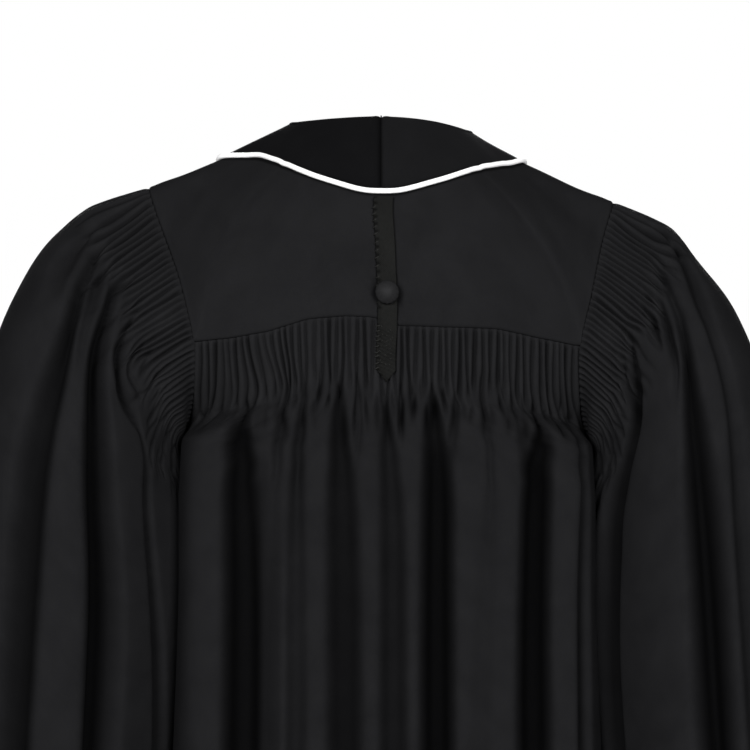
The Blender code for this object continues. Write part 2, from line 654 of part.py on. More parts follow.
def collar_profile(g, fall_steps):
    """The middle of the collar's wall on the left at each g: up its stand, over the roll, down its fall."""
    g = np.asarray(g, float)
    neck = yoke_points(g, np.zeros(len(g)))
    stand = read(NECK, "g", "stand", g)
    width = read(COLLAR, "g", "width", g)
    step = np.full(len(g), 0.01)
    along = yoke_points(np.minimum(g + step, 1.0), 0 * g) - yoke_points(np.maximum(g - step, 0.0), 0 * g)
    inwards = neck - yoke_points(g, 5 * step)
    inwards /= np.linalg.norm(inwards, axis=1, keepdims=True)
    along /= np.linalg.norm(along, axis=1, keepdims=True)
    along[g == 0] = (1.0, 0.0, 0.0)
    front = smooth((g - 0.40) / 0.35)[:, None]
    up = (1.0 - front) * np.array([0.0, 0.0, 1.0]) + front * inwards
    up -= along * (up * along).sum(axis=1, keepdims=True)
    up /= np.linalg.norm(up, axis=1, keepdims=True)
    away = np.cross(up, along)
    lines = [neck + up * SEAM_GAP * 1.5]
    top = stand - COLLAR_ROLL
    for turn in np.radians([180, 135, 90, 45, 0]):
        out = COLLAR_ROLL * (1 + math.cos(turn))
        rise = np.maximum(top, 0.002) + COLLAR_ROLL * math.sin(turn)
        lines.append(neck + away * out + up * rise[:, None])
    start = lines[-1]
    end = yoke_points(g, width) + yoke_normals(g, width) * COLLAR_CLEAR
    half = yoke_points(g, width / 2) + yoke_normals(g, width / 2) * COLLAR_CLEAR
    half = half + yoke_normals(g, width / 2) * (0.30 * stand)[:, None]
    turn_at = 2 * half - (start + end) / 2
    for w in np.linspace(0.0, 1.0, fall_steps + 1)[1:]:
        lines.append((1 - w) ** 2 * start + 2 * w * (1 - w) * turn_at + w**2 * end)
    return np.stack(lines, axis=1)


def collar(name, side, material):
    """Half the collar, from the seam at the middle of the back to the middle of the front."""
    grid = collar_profile(yoke_places(COLLAR_END_G), 4)
    grid[0, :, 0] = SEAM_GAP
    grid[..., 0] *= side
    return shell(name, hang(grid), COLLAR_WALL, 0.0, material)


def collar_piping(material):
    """The white piping round the collar's edge, one length from front to front."""
    half = yoke_places(COLLAR_END_G - 0.012)
    edge = collar_profile(half, 4)[:, -1]
    width = read(COLLAR, "g", "width", half)
    normal = yoke_normals(half, width)
    down = yoke_points(half, width + 0.02) - yoke_points(half, width)
    down /= np.linalg.norm(down, axis=1, keepdims=True)
    lift = PIPING_RADIUS + SEAM_GAP - COLLAR_CLEAR
    line = edge + down * PIPING_REACH + normal * lift
    line[0, 0] = 0.0
    right = line[:0:-1] * np.array([-1.0, 1.0, 1.0])
    path = hang(np.concatenate([right, line]))
    data = bpy.data.curves.new("collar_piping", "CURVE")
    data.dimensions = "3D"
    spline = data.splines.new("POLY")
    spline.points.add(len(path) - 1)
    for point, at in zip(spline.points, path):
        point.co = (*at, 1.0)
    data.bevel_depth = PIPING_RADIUS
    data.bevel_resolution = 2
    data.use_fill_caps = True
    return place("collar_piping", data, material)


def strap_row(x, v, drop):
    """Points of the strap's underside at x, on the yoke where v is given and below its seam otherwise."""
    if v is not None:
        slope = yoke_points([0.02], [v])[0, 0] / 0.02
        g, v = np.abs(x) / slope, np.full(len(x), v)
        points, normals = yoke_points(g, v), yoke_normals(g, v)
        points[:, 0] *= np.sign(x)
        normals[:, 0] *= np.sign(x)
    else:
        middle, _ = body_rows([drop], np.array([0.0, 0.02]), 1)
        share = np.abs(x) * 0.02 / middle[0, 1, 0] * np.sign(x)
        points, normals = (grid[0] for grid in body_rows([drop], share, 1))
    return points + normals * STRAP_CLEAR


def hood_strap(material):
    """The narrow strap down the middle of the back, from the piping to its point over the flutes."""
    half = STRAP_WIDTH / 2
    full = np.array([-half, 0.0, half])
    rows = [strap_row(full, v, None) for v in np.linspace(0.475, 0.97, 8)]
    rows += [strap_row(full, None, drop) for drop in (0.012, 0.030, STRAP_END_DROP - 0.014)]
    rows.append(strap_row(full * 0.12, None, STRAP_END_DROP))
    return shell("hood_strap", hang(np.stack(rows)), STRAP_THICK, 1.0, material)


def yoke_at_height(z):
    """The v at which the middle of the back's yoke is at height z."""
    v = np.linspace(0.0, 1.0, 201)
    heights = yoke_points(np.zeros(201), v)[:, 2]
    return float(np.interp(-z, -heights, v))


def hood_button(material):
    """The covered button on the strap, turned from its profile about its own axis."""
    v = yoke_at_height(BUTTON_Z)
    seat = yoke_points([0.0], [v])[0]
    normal = yoke_normals(np.array([0.0]), np.array([v]))[0]
    profile = [
        (0.0, BUTTON_HEIGHT),
        (0.42 * BUTTON_RADIUS, 0.95 * BUTTON_HEIGHT),
        (0.75 * BUTTON_RADIUS, 0.77 * BUTTON_HEIGHT),
        (0.95 * BUTTON_RADIUS, 0.48 * BUTTON_HEIGHT),
        (BUTTON_RADIUS, 0.25 * BUTTON_HEIGHT),
        (0.93 * BUTTON_RADIUS, 0.06 * BUTTON_HEIGHT),
        (0.80 * BUTTON_RADIUS, 0.0),
        (0.0, 0.0),
    ]
    mesh = bpy.data.meshes.new("hood_button")
    edges = [(i, i + 1) for i in range(len(profile) - 1)]
    mesh.from_pydata([(x, 0.0, z) for x, z in profile], edges, [])
    piece = place("hood_button", mesh, material)
    turned = piece.modifiers.new("turn", "SCREW")
    turned.steps = turned.render_steps = 24
    turned.use_merge_vertices = True
    turned.merge_threshold = 0.00005
    clear = STRAP_CLEAR + STRAP_THICK + SEAM_GAP
    piece.location = hang(seat + normal * clear)
    piece.rotation_mode = "QUATERNION"
    piece.rotation_quaternion = Vector(normal).to_track_quat("Z", "Y")
    return piece


def front_placket(material):
    """The flat band over the front opening, which hides its fastening."""
    length = row_length(-1)
    half = PLACKET_WIDTH / 2 / length
    drops = np.concatenate([[0.004, 0.06, 0.12], np.linspace(0.22, abs(HEM_Z - FRONT_SEAM_Z) - 0.001, 10)])
    points, normals = body_rows(drops, np.array([-half, 0.0, half]), -1)
    return shell("front_placket", hang(points + normals * SEAM_GAP), PLACKET_THICK, 1.0, material)


def finish(name, colour, roughness):
    """A plain cloth finish."""
    material = bpy.data.materials.new(name)
    material.use_nodes = True
    surface = material.node_tree.nodes["Principled BSDF"]
    surface.inputs["Base Color"].default_value = colour
    surface.inputs["Roughness"].default_value = roughness
    surface.inputs["Metallic"].default_value = 0.0
    return material


def main():
    for old in list(bpy.data.objects):
        bpy.data.objects.remove(old)
    collection = bpy.data.collections.new("clergy_robe")
    bpy.context.scene.collection.children.link(collection)
    cloth = finish("robe_cloth", CLOTH_BLACK, 0.85)
    collar_cloth = finish("collar_cloth", COLLAR_BLACK, 0.80)
    strap_cloth = finish("strap_braid", STRAP_BLACK, 0.75)
    piping = finish("piping_satin", PIPING_WHITE, 0.55)
    yoke(cloth)
    back_panel(cloth)
    for name, side in (("left", 1.0), ("right", -1.0)):
        front_panel(f"front_panel_{name}", side, cloth)
        collar(f"collar_{name}", side, collar_cloth)
    sleeve("sleeve_left", 1.0, LEFT_SLEEVE_FOLDS, cloth)
    sleeve("sleeve_right", -1.0, RIGHT_SLEEVE_FOLDS, cloth)
    collar_piping(piping)
    hood_strap(strap_cloth)
    hood_button(cloth)
    front_placket(cloth)


main()
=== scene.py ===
"""The looks of a clergy robe: thin black suiting, fluted and gathered, on the form of its solids.

Metres, +Z up. The back of the robe faces +Y and the wearer's left side is +X.
"""

import math

import bpy
import numpy as np
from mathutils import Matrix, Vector


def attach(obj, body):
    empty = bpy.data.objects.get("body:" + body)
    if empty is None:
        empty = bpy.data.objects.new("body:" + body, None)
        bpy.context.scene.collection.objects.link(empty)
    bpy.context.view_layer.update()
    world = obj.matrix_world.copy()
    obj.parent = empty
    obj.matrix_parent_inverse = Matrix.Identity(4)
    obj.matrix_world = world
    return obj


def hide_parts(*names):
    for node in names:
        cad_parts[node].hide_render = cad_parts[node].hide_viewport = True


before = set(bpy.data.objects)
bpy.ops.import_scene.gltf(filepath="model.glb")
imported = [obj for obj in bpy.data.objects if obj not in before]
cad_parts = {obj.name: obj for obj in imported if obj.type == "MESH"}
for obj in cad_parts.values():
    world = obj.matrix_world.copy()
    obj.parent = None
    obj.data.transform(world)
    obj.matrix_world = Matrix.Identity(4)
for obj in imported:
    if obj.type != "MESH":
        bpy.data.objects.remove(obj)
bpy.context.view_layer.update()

# ---- sizes -------------------------------------------------------------------------------------

CLOTH = 0.0011  # one layer of suiting
YOKE_CLOTH = 0.0016
COLLAR_CLOTH = 0.0014
SEAM_GAP = 0.0004
SEAM_LAP = 0.0012  # how far the panels lap over each other at the side seams
HEM_Z = -1.360
BACK_SEAM_Z, FRONT_SEAM_Z = -0.172, -0.150
UNDERARM_DROP = 0.115
OPENING_GAP = 0.0006
PLAN_CORNER = 2.6  # power of the rounded rectangle that a row of the body is in plan
BACK_BREADTH = 3.4  # how much squarer the back lies beside the sleeves
BREADTH_AT_ARM = 20.0  # the same at the underarm, where its corner is sharpest
BACK_ROUND_BY, FRONT_ROUND_BY = 1.1, 1.9  # underarm drops after which a row's end turns fully round
PLAIN_FRONT = 0.022  # flat cloth beside the front opening

BACK_FLUTES, FRONT_FLUTES, SLEEVE_FLUTES = 54, 22, 42
PANEL_STEPS, SLEEVE_STEPS = 8, 6  # columns of points for each flute
FLUTE_DEPTH, FLUTE_PROUD = 0.0034, 0.0004
FLUTES_UPRIGHT, GATHERS_SPREAD = 0.045, 0.10  # columns hang upright to the first, then spread
BAND_LEAN = 0.0125  # how far the back's flutes on the left lean to the middle over the band
LEAN_AT, LEAN_WIDTH, LEAN_FULL, LEAN_GONE = 0.126, 0.030, 0.065, 0.165
SEAM_ROLL, SEAM_SINK, UNDER_YOKE = 0.0045, 0.0010, 0.0016  # cloth turning in under a seam
BACK_SIDE_DIP, FRONT_SIDE_DIP, SIDE_DIP_WIDTH = 0.0004, 0.0017, 0.0022
HEM_DEPTH = 0.040
FRONT_FOLDS_END, SLEEVE_FOLDS_END = 0.416, 0.80  # how far down their long folds are given
FULL_TURN = 6.2832  # of the twill's sine, in radians
# Crease depths at which the painted shade in a valley is full.
CREASE_FULL_SHADE, TUCK_FULL_SHADE, SLEEVE_FULL_SHADE = 0.024, 0.009, 0.028  # depths at which cloth looks its darkest
SLEEVE_FLUTE_SPAN = 0.445
ROUND_SLEEVE = 0.80  # metres that one turn of a sleeve counts as
LEFT_FLUTE_SLOPE, RIGHT_FLUTE_SLOPE = 0.74, 0.92  # of the sleeves' flutes, as seen from behind
BESIDE_BODY = 0.0060  # how far a sleeve swells towards the robe behind its side seam
LEFT_TOP_FLAT, RIGHT_TOP_FLAT = 0.0038, 0.0062  # how far its top lies in, half way down
CUFF_LENGTH = 0.66  # metres of cloth from the armhole to the cuff, for the cuff's hem
PINCH_TOP, PINCH_END, SLEEVE_PINCH_END = 0.072, 0.085, 0.10  # creases above these gather flutes

COLLAR_ROLL, COLLAR_CLEAR, COLLAR_END_G = 0.0018, 0.0017, 0.965
PIPING_RADIUS, PIPING_REACH = 0.0027, 0.0031
BESIDE_PIPING = np.array([0.0015, 0.0045, 0.0055, 0.0061, 0.0067, 0.0075, 0.0090, 0.0120])
STRAP_WIDTH, STRAP_THICK, STRAP_CLEAR, STRAP_END_DROP = 0.020, 0.0017, 0.0009, 0.060
STRAP_TOP = 0.440  # where it comes out from under the collar, as a share of the yoke
BUTTON_RADIUS, BUTTON_HEIGHT, BUTTON_Z = 0.012, 0.0075, -0.1432
STRAP_SEAM, STRAP_SEWN = 0.68, 0.93  # shares of its length: at the yoke seam, and at its point
WHIP_STEP, TACK_STEP = 0.046, 0.030  # the same from stitch to stitch, above and below that seam
PLACKET_WIDTH, PLACKET_THICK, PLACKET_SEWN = 0.036, 0.0018, 0.82
PLACKET_STITCH, PLACKET_STEP = 0.0055, 0.0085

LEAN, SHOULDER_DROP, LEAN_ENDS_Z, SWAY = 0.0125, 0.008, (-0.25, -0.60), 0.006
SHOULDER_X, SHOULDER_Z, SHOULDER_RISE = 0.238, -0.045, (0.0066, 0.0056)
SIDE_SEAM_FORWARD, SLEEVE_TURN = 0.035, 0.5

CAMERA_AT, LENS, SENSOR = (0.00625, 3.0, -0.225), 138.24, 36.0
FLOOR_Z = HEM_Z - 0.11
LIGHT_SIZE = 1.8
LIGHTS = (
    ("back_left", (1.9, 4.0, 0.9), (0.0, 0.0, -0.4), 200.0),
    ("back_right", (-1.9, 4.0, 0.7), (0.0, 0.0, -0.4), 180.0),
    ("side_left", (3.6, 1.2, 1.2), (0.0, 0.0, -0.4), 13.0),
    ("side_right", (-3.6, 1.2, 1.0), (0.0, 0.0, -0.4), 13.0),
    ("front_left", (0.7, -4.6, 1.4), (0.0, 0.0, -0.5), 165.0),
    ("front_right", (-0.7, -4.6, 1.4), (0.0, 0.0, -0.5), 165.0),
)


def table(columns, *rows):
    """A short table: each named column as an array."""
    return dict(zip(columns.split(), np.array(rows, float).T))


# The robe's form, as its solids have it.
BODY = table(
    "z half_width back front",
    (-1.40, 0.405, 0.285, 0.275),
    (-1.15, 0.342, 0.245, 0.240),
    (-0.90, 0.280, 0.205, 0.202),
    (-0.66, 0.228, 0.170, 0.168),
    (-0.56, 0.2205, 0.158, 0.158),
    (-0.45, 0.2165, 0.147, 0.148),
    (-0.36, 0.2165, 0.140, 0.139),
    (-0.33, 0.2155, 0.138, 0.136),
    (-0.30, 0.2128, 0.136, 0.133),
    (-0.24, 0.2100, 0.133, 0.128),
    (-0.17, 0.200, 0.126, 0.122),
    (-0.10, 0.200, 0.120, 0.116),
)
ARMHOLE = table(
    "x y z",
    (0.2417, 0.000, -0.040),
    (0.2247, 0.045, -0.0855),
    (0.2080, 0.080, -0.139),
    (0.1954, 0.100, -0.190),
    (0.1960, 0.088, -0.238),
    (0.2030, 0.050, -0.276),
    (0.2120, 0.000, -0.292),
    (0.2030, -0.052, -0.268),
    (0.1940, -0.088, -0.218),
    (0.1930, -0.098, -0.162),
    (0.2080, -0.074, -0.108),
    (0.2270, -0.038, -0.066),
)
BACK_CORNER, UNDERARM, FRONT_CORNER = 3, 6, 9
# How the back's yoke seam was sewn a little off its line, and steps down to the right at the strap.
SEAM_RISE = table(
    "x rise",
    (-0.230, -0.0020),
    (-0.194, -0.0045),
    (-0.156, -0.0030),
    (-0.117, 0.0004),
    (-0.060, -0.0030),
    (-0.018, -0.0037),
    (0.008, 0.0046),
    (0.036, 0.0063),
    (0.074, 0.0050),
    (0.113, -0.0040),
    (0.151, -0.0065),
    (0.195, -0.0050),
    (0.230, -0.0020),
)
SLEEVE = table(
    "t left_x left_z right_x right_z inner_x inner_z back front behind",
    (0.00, 0.2417, -0.040, 0.2417, -0.040, 0.2120, -0.292, 0.100, 0.098, 0.000),
    (0.08, 0.2790, -0.046, 0.2790, -0.050, 0.2129, -0.297, 0.113, 0.110, 0.004),
    (0.16, 0.3135, -0.061, 0.3097, -0.068, 0.2137, -0.305, 0.123, 0.119, 0.010),
    (0.25, 0.3500, -0.092, 0.3360, -0.105, 0.2138, -0.320, 0.130, 0.127, 0.020),
    (0.36, 0.3860, -0.148, 0.3630, -0.149, 0.2128, -0.346, 0.134, 0.132, 0.032),
    (0.50, 0.4180, -0.240, 0.3900, -0.221, 0.2118, -0.394, 0.137, 0.137, 0.040),
    (0.70, 0.4385, -0.395, 0.4125, -0.372, 0.2145, -0.505, 0.147, 0.148, 0.042),
    (1.00, 0.4540, -0.665, 0.4345, -0.660, 0.2320, -0.700, 0.176, 0.176, 0.042),
)
NECK = table(
    "g x y z bend_out bend_down stand",
    (0.000, 0.0000, 0.066, 0.012, 0.80, 0.25, 0.0260),
    (0.134, 0.0310, 0.061, 0.013, 0.79, 0.26, 0.0240),
    (0.267, 0.0590, 0.047, 0.017, 0.76, 0.30, 0.0190),
    (0.400, 0.0830, 0.024, 0.023, 0.66, 0.38, 0.0120),
    (0.517, 0.0940, -0.002, 0.026, 0.56, 0.45, 0.0085),
    (0.630, 0.0890, -0.036, 0.016, 0.62, 0.40, 0.0075),
    (0.745, 0.0670, -0.071, -0.014, 0.68, 0.36, 0.0065),
    (0.880, 0.0330, -0.101, -0.064, 0.55, 0.42, 0.0060),
    (1.000, 0.0006, -0.117, -0.118, 0.50, 0.50, 0.0055),
)
BACK_CORNER_G, SHOULDER_G, FRONT_CORNER_G = 0.267, 0.517, 0.745
COLLAR = table(
    "g width",
    (0.000, 0.391),
    (0.067, 0.355),
    (0.134, 0.302),
    (0.200, 0.244),
    (0.267, 0.197),
    (0.334, 0.205),
    (0.400, 0.226),
    (0.460, 0.268),
    (0.517, 0.322),
    (0.570, 0.341),
    (0.630, 0.362),
    (0.690, 0.371),
    (0.745, 0.351),
    (0.800, 0.418),
    (0.860, 0.476),
    (0.920, 0.505),
    (1.000, 0.500),
)

# The creases of the back, from the wearer's left to right. Each row of a crease is a point of its
# path: how far from the middle, how far below the yoke seam, its half width and its depth there.
BACK_CREASES = (
    ((0.1822, 0.048, 0.0016, 0.0), (0.1900, 0.062, 0.0018, 0.0035),
     (0.2060, 0.076, 0.0022, 0.0045), (0.2303, 0.096, 0.0030, 0.0)),
    ((0.1685, 0.052, 0.0016, 0.0), (0.1740, 0.066, 0.0018, 0.0030),
     (0.1870, 0.080, 0.0022, 0.0040), (0.2120, 0.102, 0.0030, 0.0)),
    ((0.1452, 0.054, 0.0012, 0.0), (0.1452, 0.066, 0.0020, 0.0050),
     (0.1465, 0.085, 0.0055, 0.0160), (0.1470, 0.115, 0.0106, 0.0260),
     (0.1462, 0.160, 0.0138, 0.0280), (0.1440, 0.250, 0.0150, 0.0310),
     (0.1442, 0.416, 0.0156, 0.0340)),
    ((0.1362, 0.060, 0.0012, 0.0), (0.1368, 0.075, 0.0018, 0.0040),
     (0.1390, 0.100, 0.0022, 0.0035), (0.1399, 0.130, 0.0030, 0.0)),
    ((0.0998, 0.048, 0.0012, 0.0), (0.1003, 0.060, 0.0020, 0.0045),
     (0.1049, 0.094, 0.0030, 0.0100), (0.1090, 0.125, 0.0042, 0.0100),
     (0.1113, 0.150, 0.0050, 0.0055), (0.1140, 0.250, 0.0080, 0.0060),
     (0.1153, 0.416, 0.0090, 0.0065)),
    ((0.0843, 0.042, 0.0012, 0.0), (0.0843, 0.055, 0.0020, 0.0045),
     (0.0835, 0.084, 0.0030, 0.0095), (0.0883, 0.118, 0.0046, 0.0120),
     (0.0900, 0.200, 0.0075, 0.0090), (0.0901, 0.416, 0.0090, 0.0100)),
    ((0.0464, 0.046, 0.0012, 0.0), (0.0467, 0.058, 0.0020, 0.0050),
     (0.0481, 0.085, 0.0044, 0.0150), (0.0480, 0.112, 0.0075, 0.0180),
     (0.0459, 0.150, 0.0110, 0.0180), (0.0435, 0.250, 0.0140, 0.0195),
     (0.0421, 0.416, 0.0145, 0.0210)),
    ((0.0311, 0.048, 0.0012, 0.0), (0.0300, 0.062, 0.0020, 0.0050),
     (0.0271, 0.098, 0.0028, 0.0060), (0.0290, 0.122, 0.0040, 0.0050),
     (0.0340, 0.155, 0.0060, 0.0)),
    ((0.0045, 0.062, 0.0015, 0.0), (0.0030, 0.080, 0.0030, 0.0060),
     (-0.0007, 0.118, 0.0070, 0.0110), (-0.0045, 0.178, 0.0098, 0.0135),
     (-0.0058, 0.300, 0.0112, 0.0150), (-0.0059, 0.416, 0.0115, 0.0160)),
    ((0.1250, 0.110, 0.0040, 0.0), (0.1262, 0.150, 0.0080, 0.0050),
     (0.1268, 0.250, 0.0110, 0.0070), (0.1270, 0.416, 0.0120, 0.0080)),
    ((-0.0129, 0.056, 0.0012, 0.0), (-0.0128, 0.070, 0.0020, 0.0050),
     (-0.0127, 0.098, 0.0026, 0.0055), (-0.0149, 0.132, 0.0040, 0.0)),
    ((-0.0445, 0.054, 0.0012, 0.0), (-0.0445, 0.068, 0.0024, 0.0065),
     (-0.0460, 0.090, 0.0052, 0.0175), (-0.0475, 0.115, 0.0088, 0.0200),
     (-0.0497, 0.150, 0.0118, 0.0270), (-0.0497, 0.250, 0.0132, 0.0315),
     (-0.0496, 0.416, 0.0135, 0.0340)),
    ((-0.0694, 0.060, 0.0012, 0.0), (-0.0690, 0.074, 0.0024, 0.0065),
     (-0.0664, 0.100, 0.0042, 0.0070), (-0.0627, 0.126, 0.0062, 0.0065),
     (-0.0570, 0.165, 0.0080, 0.0)),
    ((-0.0943, 0.040, 0.0012, 0.0), (-0.0945, 0.053, 0.0020, 0.0045),
     (-0.0969, 0.086, 0.0026, 0.0055), (-0.1037, 0.140, 0.0036, 0.0050),
     (-0.1010, 0.200, 0.0070, 0.0035), (-0.0918, 0.416, 0.0100, 0.0035)),
    ((-0.1261, 0.046, 0.0012, 0.0), (-0.1270, 0.060, 0.0020, 0.0045),
     (-0.1299, 0.078, 0.0030, 0.0065), (-0.1390, 0.120, 0.0070, 0.0090),
     (-0.1490, 0.175, 0.0100, 0.0)),
    ((-0.1364, 0.054, 0.0012, 0.0), (-0.1395, 0.067, 0.0018, 0.0040),
     (-0.1449, 0.078, 0.0022, 0.0040), (-0.1533, 0.096, 0.0030, 0.0)),
    ((-0.1502, 0.050, 0.0012, 0.0), (-0.1515, 0.066, 0.0024, 0.0065),
     (-0.1546, 0.096, 0.0056, 0.0150), (-0.1536, 0.122, 0.0092, 0.0250),
     (-0.1496, 0.160, 0.0116, 0.0300), (-0.1462, 0.250, 0.0122, 0.0330),
     (-0.1450, 0.416, 0.0136, 0.0350)),
    ((-0.1694, 0.056, 0.0012, 0.0), (-0.1725, 0.072, 0.0020, 0.0045),
     (-0.1800, 0.092, 0.0026, 0.0045), (-0.1967, 0.120, 0.0040, 0.0)),
    ((-0.1930, 0.054, 0.0012, 0.0), (-0.1960, 0.072, 0.0022, 0.0055),
     (-0.2020, 0.098, 0.0036, 0.0090), (-0.2035, 0.150, 0.0050, 0.0120),
     (-0.2000, 0.214, 0.0058, 0.0140), (-0.1990, 0.422, 0.0064, 0.0160)),
    ((-0.2050, 0.050, 0.0012, 0.0), (-0.2140, 0.064, 0.0020, 0.0040),
     (-0.2257, 0.080, 0.0024, 0.0040), (-0.2400, 0.100, 0.0030, 0.0)),
)
# Small pinches where a few flutes run together and let go again.
BACK_PINCHES = table(
    "place drop lean length width depth",
    (0.1565, 0.058, 0.002, 0.022, 0.0020, 0.0030),
    (0.1233, 0.058, 0.000, 0.026, 0.0022, 0.0034),
    (0.1138, 0.057, 0.000, 0.030, 0.0022, 0.0036),
    (0.0671, 0.052, -0.001, 0.022, 0.0020, 0.0034),
    (0.0565, 0.055, -0.001, 0.018, 0.0020, 0.0026),
    (0.0190, 0.060, -0.001, 0.024, 0.0020, 0.0032),
    (-0.0235, 0.057, 0.000, 0.020, 0.0020, 0.0028),
    (-0.0335, 0.060, -0.002, 0.022, 0.0020, 0.0032),
    (-0.0570, 0.055, 0.002, 0.020, 0.0020, 0.0030),
    (-0.0815, 0.058, 0.001, 0.020, 0.0020, 0.0028),
    (-0.1030, 0.046, -0.001, 0.024, 0.0020, 0.0034),
    (-0.1155, 0.050, -0.006, 0.022, 0.0022, 0.0034),
    (-0.1605, 0.060, -0.004, 0.020, 0.0020, 0.0030),
    (-0.1830, 0.058, -0.004, 0.026, 0.0022, 0.0034),
)
# The fold at each side of the back, below the elbows.
BACK_SIDE_FOLD = (
    (0.2700, 0.400, 0.0060, 0.0), (0.2960, 0.560, 0.0090, 0.0100), (0.3560, 0.800, 0.0130, 0.0180),
    (0.4050, 1.020, 0.0160, 0.0220), (0.4560, 1.240, 0.0180, 0.0250),
)
# Long folds: their places at the head and at the elbows, where they start, half width and depth.
FRONT_FOLDS = table(
    "head elbow start width depth",
    (0.0400, 0.0482, 0.050, 0.0120, 0.0210),
    (0.0780, 0.0958, 0.046, 0.0130, 0.0270),
    (0.1180, 0.1462, 0.056, 0.0130, 0.0230),
    (0.1640, 0.2030, 0.062, 0.0110, 0.0170),
)
FRONT_PINCHES = table(
    "place drop lean length width depth",
    (0.0290, 0.056, 0.001, 0.024, 0.0020, 0.0034),
    (0.0520, 0.060, -0.001, 0.034, 0.0024, 0.0044),
    (0.0645, 0.052, 0.002, 0.046, 0.0026, 0.0050),
    (0.0900, 0.058, -0.001, 0.026, 0.0022, 0.0036),
    (0.1035, 0.050, 0.002, 0.052, 0.0028, 0.0054),
    (0.1320, 0.060, 0.003, 0.026, 0.0022, 0.0036),
    (0.1480, 0.056, 0.006, 0.038, 0.0026, 0.0046),
    (0.1780, 0.056, 0.010, 0.034, 0.0026, 0.0040),
)

# The same for the sleeves: share of the way round from the top over the back, metres down the cloth
# from the armhole, half width, depth.
LEFT_BACK_CREASES = (
    ((0.050, 0.058, 0.0030, 0.0), (0.058, 0.072, 0.0042, 0.0040), (0.066, 0.092, 0.0070, 0.0075),
     (0.078, 0.120, 0.0090, 0.0080), (0.100, 0.165, 0.0100, 0.0)),
    ((0.081, 0.064, 0.0015, 0.0), (0.087, 0.079, 0.0030, 0.0095), (0.106, 0.114, 0.0048, 0.0165),
     (0.129, 0.145, 0.0068, 0.0210), (0.141, 0.186, 0.0095, 0.0230),
     (0.142, 0.234, 0.0120, 0.0220), (0.141, 0.328, 0.0140, 0.0230),
     (0.144, 0.535, 0.0148, 0.0240), (0.146, 0.800, 0.0155, 0.0260)),
    ((0.104, 0.070, 0.0018, 0.0), (0.107, 0.084, 0.0032, 0.0085), (0.114, 0.100, 0.0060, 0.0130),
     (0.128, 0.116, 0.0068, 0.0105), (0.148, 0.138, 0.0070, 0.0070), (0.166, 0.168, 0.0060, 0.0)),
    ((0.140, 0.054, 0.0015, 0.0), (0.135, 0.068, 0.0026, 0.0055), (0.131, 0.087, 0.0040, 0.0160),
     (0.143, 0.101, 0.0052, 0.0185), (0.157, 0.115, 0.0068, 0.0210),
     (0.176, 0.132, 0.0096, 0.0240), (0.202, 0.168, 0.0136, 0.0260),
     (0.229, 0.240, 0.0165, 0.0290), (0.254, 0.445, 0.0172, 0.0300),
     (0.264, 0.800, 0.0178, 0.0320)),
    ((0.169, 0.074, 0.0015, 0.0), (0.174, 0.088, 0.0028, 0.0065), (0.183, 0.101, 0.0050, 0.0150),
     (0.202, 0.110, 0.0058, 0.0175), (0.224, 0.114, 0.0054, 0.0160),
     (0.246, 0.113, 0.0048, 0.0130), (0.270, 0.110, 0.0040, 0.0080),
     (0.292, 0.122, 0.0044, 0.0100), (0.306, 0.165, 0.0052, 0.0130),
     (0.330, 0.230, 0.0062, 0.0170), (0.354, 0.310, 0.0074, 0.0200),
     (0.374, 0.420, 0.0084, 0.0220), (0.379, 0.800, 0.0096, 0.0230)),
    ((0.196, 0.080, 0.0015, 0.0), (0.200, 0.091, 0.0026, 0.0055), (0.210, 0.096, 0.0032, 0.0065),
     (0.228, 0.094, 0.0030, 0.0050), (0.246, 0.091, 0.0028, 0.0)),
)
